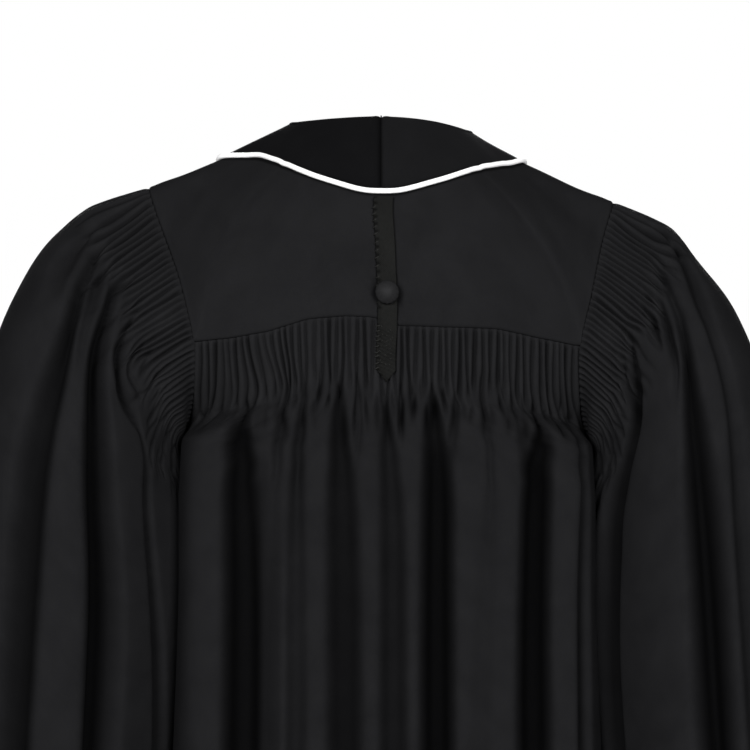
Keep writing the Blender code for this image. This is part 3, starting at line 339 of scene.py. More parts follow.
RIGHT_BACK_CREASES = (
    ((0.024, 0.030, 0.0016, 0.0), (0.030, 0.043, 0.0030, 0.0030), (0.043, 0.065, 0.0050, 0.0075),
     (0.072, 0.102, 0.0072, 0.0115), (0.093, 0.134, 0.0070, 0.0105),
     (0.104, 0.166, 0.0062, 0.0090), (0.111, 0.204, 0.0062, 0.0085),
     (0.122, 0.280, 0.0080, 0.0085), (0.128, 0.420, 0.0110, 0.0100),
     (0.128, 0.800, 0.0130, 0.0110)),
    ((0.097, 0.056, 0.0016, 0.0), (0.102, 0.071, 0.0032, 0.0085), (0.114, 0.096, 0.0036, 0.0085),
     (0.122, 0.114, 0.0042, 0.0095), (0.145, 0.143, 0.0058, 0.0170),
     (0.163, 0.180, 0.0092, 0.0220), (0.171, 0.215, 0.0126, 0.0260),
     (0.176, 0.334, 0.0165, 0.0330), (0.186, 0.490, 0.0178, 0.0360),
     (0.190, 0.800, 0.0186, 0.0380)),
    ((0.128, 0.081, 0.0015, 0.0), (0.133, 0.094, 0.0030, 0.0090), (0.141, 0.108, 0.0038, 0.0130),
     (0.151, 0.120, 0.0046, 0.0130), (0.166, 0.140, 0.0052, 0.0060), (0.188, 0.164, 0.0062, 0.0)),
    ((0.148, 0.080, 0.0016, 0.0), (0.152, 0.091, 0.0036, 0.0110), (0.158, 0.102, 0.0040, 0.0080),
     (0.164, 0.116, 0.0032, 0.0)),
    ((0.188, 0.060, 0.0016, 0.0), (0.194, 0.073, 0.0036, 0.0085), (0.210, 0.087, 0.0056, 0.0150),
     (0.244, 0.102, 0.0100, 0.0260), (0.298, 0.122, 0.0158, 0.0330),
     (0.336, 0.150, 0.0178, 0.0370), (0.350, 0.200, 0.0165, 0.0370),
     (0.359, 0.270, 0.0142, 0.0350), (0.367, 0.370, 0.0138, 0.0350),
     (0.374, 0.800, 0.0138, 0.0370)),
    ((0.215, 0.056, 0.0016, 0.0), (0.221, 0.071, 0.0032, 0.0065), (0.241, 0.091, 0.0042, 0.0085),
     (0.262, 0.104, 0.0042, 0.0065), (0.278, 0.126, 0.0040, 0.0)),
    ((0.300, 0.046, 0.0016, 0.0), (0.306, 0.060, 0.0030, 0.0055), (0.334, 0.078, 0.0034, 0.0065),
     (0.372, 0.105, 0.0042, 0.0085), (0.412, 0.150, 0.0046, 0.0085),
     (0.440, 0.220, 0.0044, 0.0070), (0.452, 0.316, 0.0044, 0.0070),
     (0.456, 0.600, 0.0048, 0.0080)),
)
SLEEVE_PINCHES = table(
    "place drop lean length width depth",
    (0.012, 0.070, 0.006, 0.030, 0.0026, 0.0030),
    (0.036, 0.074, 0.008, 0.026, 0.0024, 0.0030),
    (0.118, 0.072, 0.004, 0.022, 0.0022, 0.0030),
    (0.156, 0.076, 0.004, 0.020, 0.0022, 0.0030),
    (0.240, 0.066, 0.008, 0.026, 0.0024, 0.0034),
    (0.268, 0.062, 0.010, 0.030, 0.0026, 0.0036),
    (0.292, 0.056, 0.010, 0.028, 0.0026, 0.0036),
    (0.322, 0.046, 0.012, 0.030, 0.0028, 0.0040),
    (0.352, 0.042, 0.012, 0.034, 0.0028, 0.0044),
    (0.384, 0.036, 0.010, 0.030, 0.0028, 0.0038),
    (0.412, 0.030, 0.008, 0.028, 0.0026, 0.0034),
)
# The folds of a sleeve's front, by the share of the way round near the armhole and further down.
LEFT_FRONT_FOLDS = table(
    "head elbow start width depth",
    (0.800, 0.700, 0.058, 0.0150, 0.0270),
    (0.865, 0.790, 0.062, 0.0180, 0.0330),
    (0.925, 0.885, 0.066, 0.0165, 0.0230),
)
RIGHT_FRONT_FOLDS = table(
    "head elbow start width depth",
    (0.790, 0.680, 0.058, 0.0160, 0.0300),
    (0.870, 0.795, 0.062, 0.0180, 0.0320),
    (0.935, 0.890, 0.066, 0.0155, 0.0220),
)

# ---- curves and surfaces -----------------------------------------------------------------------


def smooth(t):
    """0 below 0 and 1 above 1, level at both ends: 3t^2 - 2t^3."""
    t = np.clip(t, 0.0, 1.0)
    return t * t * (3.0 - 2.0 * t)


def between(x, start, full, ease, end):
    """A window: 0 up to start, 1 from full to ease and 0 again from end, level at all four."""
    return smooth((x - start) / (full - start)) * (1.0 - smooth((x - ease) / (end - ease)))


def bell(x, width):
    """A bell curve of that half width: e to the minus (x / width)^2."""
    return np.exp(-((np.asarray(x) / width) ** 2))


def through(keys, values, at):
    """A smooth curve through the values at the keys: a cubic between neighbours."""
    keys, at = np.asarray(keys, float), np.asarray(at, float)
    slope = np.gradient(values, keys)
    i = np.clip(np.searchsorted(keys, at, side="right") - 1, 0, len(keys) - 2)
    step = keys[i + 1] - keys[i]
    t = (at - keys[i]) / step
    rise = (2 * t**3 - 3 * t**2 + 1) * values[i] + (3 * t**2 - 2 * t**3) * values[i + 1]
    return rise + step * ((t**3 - 2 * t**2 + t) * slope[i] + (t**3 - t**2) * slope[i + 1])


def read(rows, key, column, at):
    """A table's column at any value of its key column."""
    order = np.argsort(rows[key])
    return through(rows[key][order], rows[column][order], at)


def read_columns(rows, key, columns, at):
    """Several of a table's columns at once, side by side in the last axis."""
    return np.stack([read(rows, key, column, at) for column in columns], axis=-1)


def eased(points, times):
    """Rows of points, each but the first and last moved half way to its neighbours' middle."""
    points = np.array(points, float)
    for _ in range(times):
        points[1:-1] = 0.5 * points[1:-1] + 0.25 * (points[:-2] + points[2:])
    return points


def unit(vectors):
    """Vectors of length 1 in the same directions."""
    return vectors / np.maximum(np.linalg.norm(vectors, axis=-1, keepdims=True), 1e-12)


def armhole_shares():
    """Share of the way round the armhole at each row of its table, and once more at the start."""
    loop = np.stack([ARMHOLE[c] for c in "xyz"], axis=1)
    steps = np.linalg.norm(np.roll(loop, -1, axis=0) - loop, axis=1)
    return np.concatenate([[0.0], np.cumsum(steps)]) / steps.sum()


ARMHOLE_Q = armhole_shares()


def armhole(q):
    """Points of the left armhole, from the shoulder (0) over the back and round to 1."""
    keys = np.concatenate([ARMHOLE_Q[-4:-1] - 1.0, ARMHOLE_Q, ARMHOLE_Q[1:4] + 1.0])
    columns = []
    for c in "xyz":
        once = np.append(ARMHOLE[c], ARMHOLE[c][0])
        around = np.concatenate([once[-4:-1], once, once[1:4]])
        columns.append(through(keys, around, np.asarray(q) % 1.0))
    return np.stack(columns, axis=-1)


def hang(points):
    """The robe's slight lean: it rises towards the wearer's left and its right shoulder drops.

    A bell curve lifts the cloth at each shoulder, and one along the back's yoke seam puts it off
    its line.
    """
    points = np.array(points, float)
    x, y, z = points[..., 0], points[..., 1], points[..., 2]
    fade = smooth((z - LEAN_ENDS_Z[1]) / (LEAN_ENDS_Z[0] - LEAN_ENDS_Z[1]))
    near_shoulder = smooth((-x - 0.02) / 0.10) * smooth((0.10 - y) / 0.09)
    points[..., 0] = x - SWAY * smooth((-z - 0.05) / 0.10)
    at_shoulder = bell(np.abs(x) - SHOULDER_X, 0.028) * bell(y, 0.050) * bell(z - SHOULDER_Z, 0.040)
    rise = at_shoulder * np.where(x > 0, *SHOULDER_RISE)
    off_line = np.interp(x, SEAM_RISE["x"], SEAM_RISE["rise"]) * bell(z - BACK_SEAM_Z, 0.040)
    rise += off_line * smooth((y - 0.04) / 0.04)
    points[..., 2] = z + fade * (LEAN * x - SHOULDER_DROP * near_shoulder) + rise
    return points


def row_end(drop, face):
    """Where rows of a panel meet the armhole or the side seam. face is 1 behind and -1 before."""
    corner = ARMHOLE_Q[BACK_CORNER] if face > 0 else ARMHOLE_Q[FRONT_CORNER]
    end = armhole(corner + (ARMHOLE_Q[UNDERARM] - corner) * np.clip(drop / UNDERARM_DROP, 0.0, 1.0))
    seam_z = BACK_SEAM_Z if face > 0 else FRONT_SEAM_Z
    below = np.clip((drop - UNDERARM_DROP) / (seam_z - HEM_Z - UNDERARM_DROP), 0.0, 1.0)
    z = end[..., 2] + (HEM_Z - end[..., 2]) * below
    settle = ARMHOLE["x"][UNDERARM] - read(BODY, "z", "half_width", ARMHOLE["z"][UNDERARM])
    side_x = read(BODY, "z", "half_width", z) + settle * (1.0 - smooth(below / 0.08))
    forward = SIDE_SEAM_FORWARD * between(below, 0.0, 0.03, 0.35, 0.70)
    return np.where(below > 0, side_x, end[..., 0]), np.where(below > 0, -forward, end[..., 1]), z


def half_rows(drop, face):
    """Half rows of the robe under its folds, 481 points each, and the length in plan up to each.

    In plan a row is a rounded rectangle: y falls from the middle's depth to the end's as
    (1 - s^corner)^square while x grows with s, and z changes with s^1.9.
    """
    mid_z = (BACK_SEAM_Z if face > 0 else FRONT_SEAM_Z) - drop
    end_x, end_y, end_z = row_end(drop, face)
    end_y = end_y + face * np.where(drop > UNDERARM_DROP, -SEAM_LAP, SEAM_GAP) / 2
    depth = face * read(BODY, "z", "back" if face > 0 else "front", mid_z)
    round_by = BACK_ROUND_BY if face > 0 else FRONT_ROUND_BY
    square = 1.0 - 0.5 * smooth(drop / (round_by * UNDERARM_DROP))
    s = np.sin(np.linspace(0.0, math.pi / 2, 481))
    corner = np.full(len(drop), PLAN_CORNER)
    if face > 0:
        corner += BACK_BREADTH * between(drop, 0.05, 0.17, 0.6, 0.9)
        corner += BREADTH_AT_ARM * between(drop, 0.07, 0.12, 0.28, 0.62)
    bulge = np.power(np.maximum(1.0 - s[None, :] ** corner[:, None], 0.0), square[:, None])
    x = end_x[:, None] * s
    y = end_y[:, None] + (depth - end_y)[:, None] * bulge
    z = mid_z[:, None] + (end_z - mid_z)[:, None] * s**1.9
    length = np.cumsum(np.hypot(np.diff(x, axis=1), np.diff(y, axis=1)), axis=1)
    return np.stack([x, y, z], axis=-1), np.concatenate([np.zeros((len(drop), 1)), length], axis=1)


def half_length(drop, face):
    """Length of half a row at each drop."""
    return half_rows(np.atleast_1d(np.asarray(drop, float)), face)[1][:, -1]


def on_body(drop, place, face):
    """The robe's surface under its folds, and the way out of it in plan.

    drop has one value for each row. place holds metres along the cloth from the middle, + on
    the left. The way out is square to a small step along the row.
    """
    points, length = half_rows(drop, face)
    at = np.minimum(np.abs(place), length[:, -1:])
    out, ahead, behind = (np.empty(place.shape + (3,)) for _ in range(3))
    for row in range(len(drop)):
        for k in range(3):
            line = points[row, :, k]
            out[row, :, k] = np.interp(at[row], length[row], line)
            ahead[row, :, k] = np.interp(at[row] + 0.002, length[row], line)
            behind[row, :, k] = np.interp(at[row] - 0.002, length[row], line)
    along = ahead - behind
    at_side = smooth((at / length[:, -1:] - 0.95) / 0.05)
    at_side *= smooth(2.5 * drop / UNDERARM_DROP - 1.5)[:, None]
    along[..., 0] *= 1.0 - at_side
    side = np.where(place < 0, -1.0, 1.0)
    out[..., 0] *= side
    across = -face * along[..., 1] * side
    normal = np.stack([across, face * along[..., 0], np.zeros(place.shape)], axis=-1)
    return out, unit(normal)


def sleeve_rings(q, t, side):
    """A sleeve's surface under its folds, as on the left: q round it, t from armhole to cuff."""
    name = "left" if side > 0 else "right"

    def ring(t):
        """Rings as ellipses between outer and inner points, turned forwards near the head."""
        outer = read_columns(SLEEVE, "t", (f"{name}_x", f"{name}_z"), t)
        inner = read_columns(SLEEVE, "t", ("inner_x", "inner_z"), t)
        angle = 2 * math.pi * q + SLEEVE_TURN * smooth(t / 0.20) * np.sin(2 * math.pi * q)
        back, front = (read(SLEEVE, "t", part, t) for part in ("back", "front"))
        depth = np.where(np.sin(angle) > 0, back, front)
        flat = (outer + inner) / 2 + (outer - inner) / 2 * np.cos(angle)[..., None]
        behind = read(SLEEVE, "t", "behind", t) + depth * np.sin(angle)
        return np.stack([flat[..., 0], behind, flat[..., 1]], axis=-1)

    from_seam = armhole(q) - ring(np.zeros(np.shape(t)))
    rings = ring(t) + from_seam * (1.0 - smooth(t / 0.30))[..., None]
    rings[..., 0] += SEAM_GAP
    return rings


def yoke_edge(g):
    """The yoke's outer edge on the left: back seam, armhole over the shoulder, front seam."""
    out = np.empty(g.shape + (3,))
    back, front = g <= BACK_CORNER_G, g > FRONT_CORNER_G
    arm = ~back & ~front
    zero = np.zeros(1)
    out[back] = on_body(zero, (g[back] / BACK_CORNER_G * half_length(0.0, 1))[None, :], 1)[0][0]
    edge = OPENING_GAP / half_length(0.30, -1)
    share = 1.0 + (edge - 1.0) * (g[front] - FRONT_CORNER_G) / (1.0 - FRONT_CORNER_G)
    out[front] = on_body(zero, (share * half_length(0.0, -1))[None, :], -1)[0][0]
    turns = (ARMHOLE_Q[BACK_CORNER], 0.0, ARMHOLE_Q[FRONT_CORNER] - 1.0)
    out[arm] = armhole(np.interp(g[arm], (BACK_CORNER_G, SHOULDER_G, FRONT_CORNER_G), turns))
    return out


def yoke_points(g, v):
    """The yoke's outer surface on the left: g round the neck, v from neck to seam.

    Each line from neck to seam is a parabola bent towards the point that the table's bends give.
    """
    g, v = np.broadcast_arrays(np.asarray(g, float), np.asarray(v, float))
    inner = read_columns(NECK, "g", "xyz", g)
    outer = yoke_edge(g.ravel()).reshape(g.shape + (3,))
    bend = read_columns(NECK, "g", ("bend_out", "bend_out", "bend_down"), g)
    turn = inner + (outer - inner) * bend
    v = v[..., None]
    return (1 - v) ** 2 * inner + 2 * v * (1 - v) * turn + v**2 * outer


def yoke_normals(g, v):
    """Outward directions of that surface, from small steps both ways."""
    step = 0.004
    low = np.clip(g - step, 0.0, 1.0 - 2 * step)
    near = np.clip(v - step, 0.0, 1.0 - 2 * step)
    round_it = yoke_points(low + 2 * step, v) - yoke_points(low, v)
    along = yoke_points(g, near + 2 * step) - yoke_points(g, near)
    normal = np.cross(round_it, along)
    normal[np.broadcast_to(np.asarray(g) < step, normal.shape[:-1]), 0] = 0.0
    return unit(normal)


def grid_normals(grid, outwards):
    """Normals of a grid of points, turned to the side of the rough outward directions given."""
    normal = unit(np.cross(np.gradient(grid, axis=0), np.gradient(grid, axis=1)))
    sign = np.sign((normal * outwards).sum())
    return normal * sign


# ---- creases and flutes ------------------------------------------------------------------------


def path_points(rows, steps=7):
    """A crease's path, smooth through its rows, as many short steps: place, drop, width, depth."""
    rows = np.array(rows, float)
    lengths = np.hypot(np.diff(rows[:, 0]), np.diff(rows[:, 1]))
    keys = np.concatenate([[0.0], np.cumsum(lengths)])
    parts = [np.linspace(a, b, steps, endpoint=False) for a, b in zip(keys, keys[1:])]
    at = np.concatenate([*parts, keys[-1:]])
    points = np.stack([through(keys, rows[:, k], at) for k in range(4)], axis=1)
    points[:, 2:] = np.maximum(points[:, 2:], (0.0008, 0.0))
    return points


def crease_depth(place, drop, rows):
    """How deep a crease sinks the cloth, by the distance to its path.

    Its depth times e to the minus (distance / width)^p: p is 1.5 for a sharp narrow crease and
    grows to 2.8 for a broad one, whose floor is flatter and whose walls are steeper.
    """
    path = path_points(rows)
    reach = 3.2 * path[:, 2].max()
    near = (
        (place > path[:, 0].min() - reach) & (place < path[:, 0].max() + reach)
        & (drop > path[:, 1].min() - reach) & (drop < path[:, 1].max() + reach)
    )
    x, y = place[near], drop[near]
    best = np.full(x.shape, 1e9)
    depth, width = np.zeros(x.shape), np.full(x.shape, 1.0)
    for (ax, ay, aw, ad), (bx, by, bw, bd) in zip(path, path[1:]):
        dx, dy = bx - ax, by - ay
        t = np.clip(((x - ax) * dx + (y - ay) * dy) / (dx * dx + dy * dy + 1e-12), 0.0, 1.0)
        away = np.hypot(x - ax - t * dx, y - ay - t * dy)
        closer = away < best
        best = np.where(closer, away, best)
        width = np.where(closer, aw + t * (bw - aw), width)
        depth = np.where(closer, ad + t * (bd - ad), depth)
    sunk = np.zeros(place.shape)
    sunk[near] = depth * np.exp(-((best / width) ** (1.5 + 1.3 * smooth((width - 0.003) / 0.009))))
    return sunk


def short_creases(pinches):
    """A small crease for each row of a table of pinches: from nothing to its depth and out."""
    made = []
    for place, drop, lean, length, width, depth in zip(*pinches.values()):
        rows = [
            (place, drop - 0.010, 0.6 * width, 0.0),
            (place, drop + 0.002, 0.9 * width, depth),
            (place + 0.5 * lean, drop + 0.5 * length, 1.2 * width, 0.8 * depth),
            (place + lean, drop + length, 1.6 * width, 0.0),
        ]
        made.append(rows)
    return made


def hanging_creases(folds, last):
    """The long folds of a table, from a pinch under the flutes to the bottom edge."""
    opened = ((0.0, 0.0, 0.10, 0.0), (0.1, 0.014, 0.18, 0.22), (0.3, 0.040, 0.42, 0.48),
              (0.7, 0.085, 0.75, 0.75), (1.0, 0.160, 1.0, 0.95))
    made = []
    for head, elbow, start, width, depth in zip(*folds.values()):
        over = elbow - head
        rows = [(head + over * m, start + d, w * width, h * depth) for m, d, w, h in opened]
        made.append(rows + [(elbow, last, width, depth)])
    return made


def to_hem(rows, face):
    """A body crease carried on down to the hem, wider and deeper as the robe flares."""
    place, drop, width, depth = rows[-1]
    if depth <= 0.0:
        return rows
    at_elbow = float(half_length(drop, face)[0])
    more = []
    for down in (0.62, 0.82, 1.02, 1.24):
        flare = float(half_length(min(down, abs(HEM_Z - BACK_SEAM_Z)), face)[0]) / at_elbow
        grown = 1.0 + 0.55 * (down - drop)
        more.append((place * flare, down, width * flare, depth * grown))
    return tuple(rows) + tuple(more)


def draw_in(place, drop, pinches, low, high):
    """Columns that draw together at the pinches below the flutes and let go again.

    Between the borders half way to its neighbours, a column at the share r from its pinch moves to
    the share r^2.3. Returns the new places and how much of the flutes is left at each.
    """
    order = np.argsort([p[0] for p in pinches])
    at = np.array([pinches[k][0] for k in order])
    down = np.array([pinches[k][1] for k in order])
    borders = np.concatenate([[low], (at[1:] + at[:-1]) / 2, [high]])
    cell = np.searchsorted(borders[1:-1], place)
    pinch = at[cell]
    half = np.where(place > pinch, borders[cell + 1] - pinch, pinch - borders[cell])
    half = np.maximum(half, 1e-6)
    share = np.clip(np.abs(place - pinch) / half, 0.0, 1.0)
    drawn = pinch + np.sign(place - pinch) * half * share**2.3
    level = np.interp(place, at, down)
    pull = 0.75 * between(drop - level, -0.026, 0.004, 0.012, 0.102)
    left = 1.0 - smooth((drop - level + 0.008) / 0.024)
    return place + pull * (drawn - place), left


def flutes(phase, down, seed):
    """Depth of the flutes' valleys, 0 to 1, at whole numbers of the phase, each a little its own.

    Two slow sines of the phase and of the way down move them a little to the side.
    """
    rng = np.random.default_rng(seed)
    count = int(np.ceil(np.abs(phase).max())) + 3
    own = 1.0 + 0.38 * rng.uniform(-1, 1, 2 * count + 1)
    phase = (phase + 0.15 * np.sin(0.83 * phase + 1.0)
             + 0.09 * np.sin(2.3 * phase + 0.4 * seed + 55.0 * down))
    near = np.round(phase)
    wave = 0.5 + 0.5 * np.cos(2 * math.pi * phase)
    return wave**2.1 * own[near.astype(int) + count]


def seam_dip(distance, depth, width):
    """How far cloth dips beside a seam: a bell curve of the distance from it."""
    return depth * bell(np.maximum(distance, 0.0), width)


def hem_relief(above):
    """A turned hem: it is a little thicker below its sewing, which draws a shallow line."""
    return 0.0007 * bell(above - HEM_DEPTH, 0.0022) - 0.0006 * smooth((HEM_DEPTH - above) / 0.004)


# ---- meshes ------------------------------------------------------------------------------------


def make_surface(name, grid, outwards, uv, material, round_it=False):
    """A mesh of quads from a grid of points, facing outwards, with a UV map in metres of cloth.

    A grid that goes round on itself leaves out its last column, and its UV grid keeps it.
    """
    rows, columns = grid.shape[:2]
    across = columns if round_it else columns - 1
    r, c = np.meshgrid(np.arange(rows - 1), np.arange(across), indexing="ij")
    corner = np.stack([r, r, r + 1, r + 1], -1), np.stack([c, c + 1, c + 1, c], -1)
    quads = (corner[0] * columns + corner[1] % columns).reshape(-1, 4)
    points = grid.reshape(-1, 3)
    a, b, c, d = (points[quads[:, k]] for k in range(4))
    face = np.cross(c - a, d - b)
    if (face * outwards.reshape(-1, 3)[quads[:, 0]]).sum() < 0:
        quads = quads[:, ::-1]
        corner = tuple(part[..., ::-1] for part in corner)
    mesh = bpy.data.meshes.new(name)
    mesh.vertices.add(len(points))
    mesh.vertices.foreach_set("co", points.astype(np.float32).ravel())
    mesh.loops.add(quads.size)
    mesh.loops.foreach_set("vertex_index", quads.astype(np.int32).ravel())
    mesh.polygons.add(len(quads))
    mesh.polygons.foreach_set("loop_start", np.arange(0, quads.size, 4, dtype=np.int32))
    mesh.polygons.foreach_set("use_smooth", np.ones(len(quads), bool))
    layer = mesh.uv_layers.new(name="cloth")
    spots = uv[corner[0].reshape(-1), corner[1].reshape(-1)]
    layer.data.foreach_set("uv", spots.astype(np.float32).ravel())
    mesh.update(calc_edges=True)
    mesh.validate()
    return place_piece(name, mesh, material)


def place_piece(name, data, material):
    """An object of this data at the origin, riding with the robe."""
    piece = bpy.data.objects.new(name, data)
    data.materials.append(material)
    bpy.context.scene.collection.objects.link(piece)
    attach(piece, "root")
    return piece


def give_thickness(piece, thickness, offset=-1.0):
    """Makes an open sheet a closed thin wall."""
    wall = piece.modifiers.new("wall", "SOLIDIFY")
    wall.thickness, wall.offset = thickness, offset


def set_value(piece, name, values):
    """Stores one number for each point of a piece's mesh."""
    attribute = piece.data.attributes.new(name, "FLOAT", "POINT")
    attribute.data.foreach_set("value", np.asarray(values, np.float32).ravel())


def cloth_uv(grid, round_it=False):
    """Metres along the cloth: down each column, and across along the middle row."""
    whole = np.concatenate([grid, grid[:, :1]], axis=1) if round_it else grid
    across = np.linalg.norm(np.diff(whole, axis=1), axis=2).mean(axis=0)
    across = np.concatenate([[0.0], np.cumsum(across)])
    down = np.linalg.norm(np.diff(whole, axis=0), axis=2).mean(axis=1)
    down = np.concatenate([[0.0], np.cumsum(down)])
    return np.stack(np.broadcast_arrays(across[None, :], down[:, None]), axis=-1)


def tube(path, radius, sides):
    """A round cord along a path: rings of points square to it, and their outward directions."""
    path = np.asarray(path, float)
    along = unit(np.gradient(path, axis=0))
    up = np.tile([0.0, 0.0, 1.0], (len(path), 1))
    up = unit(up - along * (up * along).sum(axis=1, keepdims=True))
    across = np.cross(along, up)
    radius = np.broadcast_to(radius, (len(path),)).copy()
    turn = np.linspace(0, 2 * math.pi, sides, endpoint=False)
    cos, sin = np.cos(turn)[None, :, None], np.sin(turn)[None, :, None]
    ring = cos * up[:, None, :] + sin * across[:, None, :]
    grid = path[:, None, :] + ring * radius[:, None, None]
    return grid, ring


# ---- materials ---------------------------------------------------------------------------------


def add(tree, kind, **values):
    """A node with its own settings; names of inputs use _ for a space."""
    node = tree.nodes.new(kind)
    for key, value in values.items():
        if hasattr(node, key):
            setattr(node, key, value)
        else:
            node.inputs[key.replace("_", " ")].default_value = value
    return node


def math_node(tree, operation, a, b=None, clamp=False):
    """A Math node whose inputs are sockets or numbers."""
    node = tree.nodes.new("ShaderNodeMath")
    node.operation, node.use_clamp = operation, clamp
    for socket, value in zip(node.inputs, (a, b)):
        if isinstance(value, (int, float)):
            socket.default_value = value
        elif value is not None:
            tree.links.new(value, socket)
    return node.outputs[0]


def suiting_group():
    """Twill and slub of a fine suiting, from metres of cloth: a height and a mottling.

    The twill is a sine of (across + down) / pitch, broken by a stretched noise; the mottling adds a
    soft noise of a few centimetres to a fine one.
    """
    group = bpy.data.node_groups.new("suiting_twill", "ShaderNodeTree")
    for name, way in (("Pitch", "INPUT"), ("Height", "OUTPUT"), ("Mottling", "OUTPUT")):
        group.interface.new_socket(name, in_out=way, socket_type="NodeSocketFloat")
    inputs, outputs = group.nodes.new("NodeGroupInput"), group.nodes.new("NodeGroupOutput")
    place = add(group, "ShaderNodeUVMap", uv_map="cloth")
    split = group.nodes.new("ShaderNodeSeparateXYZ")
    group.links.new(place.outputs[0], split.inputs[0])
    slant = math_node(group, "ADD", split.outputs[0], split.outputs[1])
    turns = math_node(group, "DIVIDE", slant, inputs.outputs["Pitch"])
    twill = math_node(group, "SINE", math_node(group, "MULTIPLY", turns, FULL_TURN))
    stretch = group.nodes.new("ShaderNodeMapping")
    stretch.inputs["Scale"].default_value = (1.0, 0.22, 1.0)
    group.links.new(place.outputs[0], stretch.inputs["Vector"])
    slub = add(group, "ShaderNodeTexNoise", Scale=900.0, Detail=3.0)
    group.links.new(stretch.outputs[0], slub.inputs["Vector"])
    height = math_node(group, "ADD", math_node(group, "MULTIPLY", twill, 0.3), slub.outputs[0])
    wide = add(group, "ShaderNodeTexNoise", Scale=26.0, Detail=4.0, Roughness=0.62)
    group.links.new(place.outputs[0], wide.inputs["Vector"])
    fine = add(group, "ShaderNodeTexNoise", Scale=420.0, Detail=2.0)
    group.links.new(place.outputs[0], fine.inputs["Vector"])
    mixed = math_node(group, "ADD", math_node(group, "MULTIPLY", wide.outputs[0], 0.7),
                      math_node(group, "MULTIPLY", fine.outputs[0], 0.3))
    group.links.new(height, outputs.inputs["Height"])
    group.links.new(mixed, outputs.inputs["Mottling"])
    return group


SUITING = suiting_group()


def cloth_material(name, dark, light, roughness=0.88, bump=0.25, pitch=0.0007, sheen=0.0,
                   specular=0.012, sheen_tint=(0.8, 0.8, 0.85)):
    """Cloth: a mottled colour, twill in the bump, crowns lighter for wear and as a painted
    highlight, valleys darker as painted shade, a soft sheen.
    """
    material = bpy.data.materials.new(name)
    material.use_nodes = True
    tree = material.node_tree
    surface = tree.nodes["Principled BSDF"]
    surface.inputs["Specular IOR Level"].default_value = specular
    surface.inputs["Sheen Weight"].default_value = sheen
    surface.inputs["Sheen Roughness"].default_value = 0.5
    surface.inputs["Sheen Tint"].default_value = (*sheen_tint, 1.0)
    twill = tree.nodes.new("ShaderNodeGroup")
    twill.node_tree = SUITING
    twill.inputs["Pitch"].default_value = pitch
    ramp = tree.nodes.new("ShaderNodeMapRange")
    ramp.inputs["From Min"].default_value, ramp.inputs["From Max"].default_value = 0.35, 0.68
    tree.links.new(twill.outputs["Mottling"], ramp.inputs["Value"])
    # Wear and painted highlight: the crown attribute lightens the colour on raised crowns.
    wear_and_highlight = add(tree, "ShaderNodeAttribute", attribute_name="crown")
    amount = math_node(tree, "ADD", math_node(tree, "MULTIPLY", ramp.outputs[0], 0.6),
                       math_node(tree, "MULTIPLY", wear_and_highlight.outputs["Fac"], 0.4), clamp=True)
    colour = tree.nodes.new("ShaderNodeMix")
    colour.data_type = "RGBA"
    colour.inputs["A"].default_value, colour.inputs["B"].default_value = (*dark, 1.0), (*light, 1.0)
    tree.links.new(amount, colour.inputs["Factor"])
    # Painted shade: the valley attribute mixes the colour down to 0.22 of its dark tone in creases,
    # flute valleys, seams and rims, where shade falls.
    deep = add(tree, "ShaderNodeAttribute", attribute_name="valley")
    shaded = tree.nodes.new("ShaderNodeMix")
    shaded.data_type = "RGBA"
    shaded.inputs["B"].default_value = (*(0.22 * part for part in dark), 1.0)
    tree.links.new(math_node(tree, "MULTIPLY", deep.outputs["Fac"], 0.9), shaded.inputs["Factor"])
    tree.links.new(colour.outputs["Result"], shaded.inputs["A"])
    tree.links.new(shaded.outputs["Result"], surface.inputs["Base Color"])
    rough = tree.nodes.new("ShaderNodeMapRange")
    rough.inputs["To Min"].default_value = roughness + 0.05
    rough.inputs["To Max"].default_value = roughness - 0.06
    tree.links.new(amount, rough.inputs["Value"])
    tree.links.new(rough.outputs[0], surface.inputs["Roughness"])
    raised = add(tree, "ShaderNodeBump", Strength=bump, Distance=0.0004)
    tree.links.new(twill.outputs["Height"], raised.inputs["Height"])
    tree.links.new(raised.outputs[0], surface.inputs["Normal"])
    return material


ROBE_CLOTH = cloth_material(
    "robe_suiting", (0.0080, 0.0080, 0.0086), (0.0124, 0.0124, 0.0132), bump=0.4)
# The collar's halves are one suiting in two tones: the left is painted darker as shade and the
# right lighter as light.
COLLAR_LEFT_SHADED = cloth_material(
    "collar_suiting_left_shaded", (0.0034, 0.0034, 0.0037), (0.0048, 0.0048, 0.0052), sheen=0.01)
COLLAR_RIGHT_LIT = cloth_material(
    "collar_suiting_right_lit", (0.0054, 0.0054, 0.0058), (0.0074, 0.0074, 0.0079), sheen=0.02)
STRAP_CLOTH = cloth_material(
    "strap_cloth", (0.0070, 0.0071, 0.0068), (0.0130, 0.0130, 0.0125), pitch=0.0022, bump=1.0)
# The button's light tone is a painted highlight on the top of its dome.
BUTTON_CLOTH = cloth_material(
    "button_cloth", (0.0086, 0.0086, 0.0090), (0.0200, 0.0200, 0.0208))
PIPING_SATIN = cloth_material(
    "piping_satin", (0.90, 0.90, 0.90), (0.95, 0.95, 0.95), roughness=0.45, specular=0.4,
    bump=0.15, pitch=0.0009, sheen=0.1, sheen_tint=(1.0, 1.0, 1.0))
THREAD = cloth_material(
    "sewing_thread", (0.0160, 0.0160, 0.0153), (0.0240, 0.0240, 0.0230), bump=0.3, pitch=0.0004)

# ---- the panels below the yoke -----------------------------------------------------------------


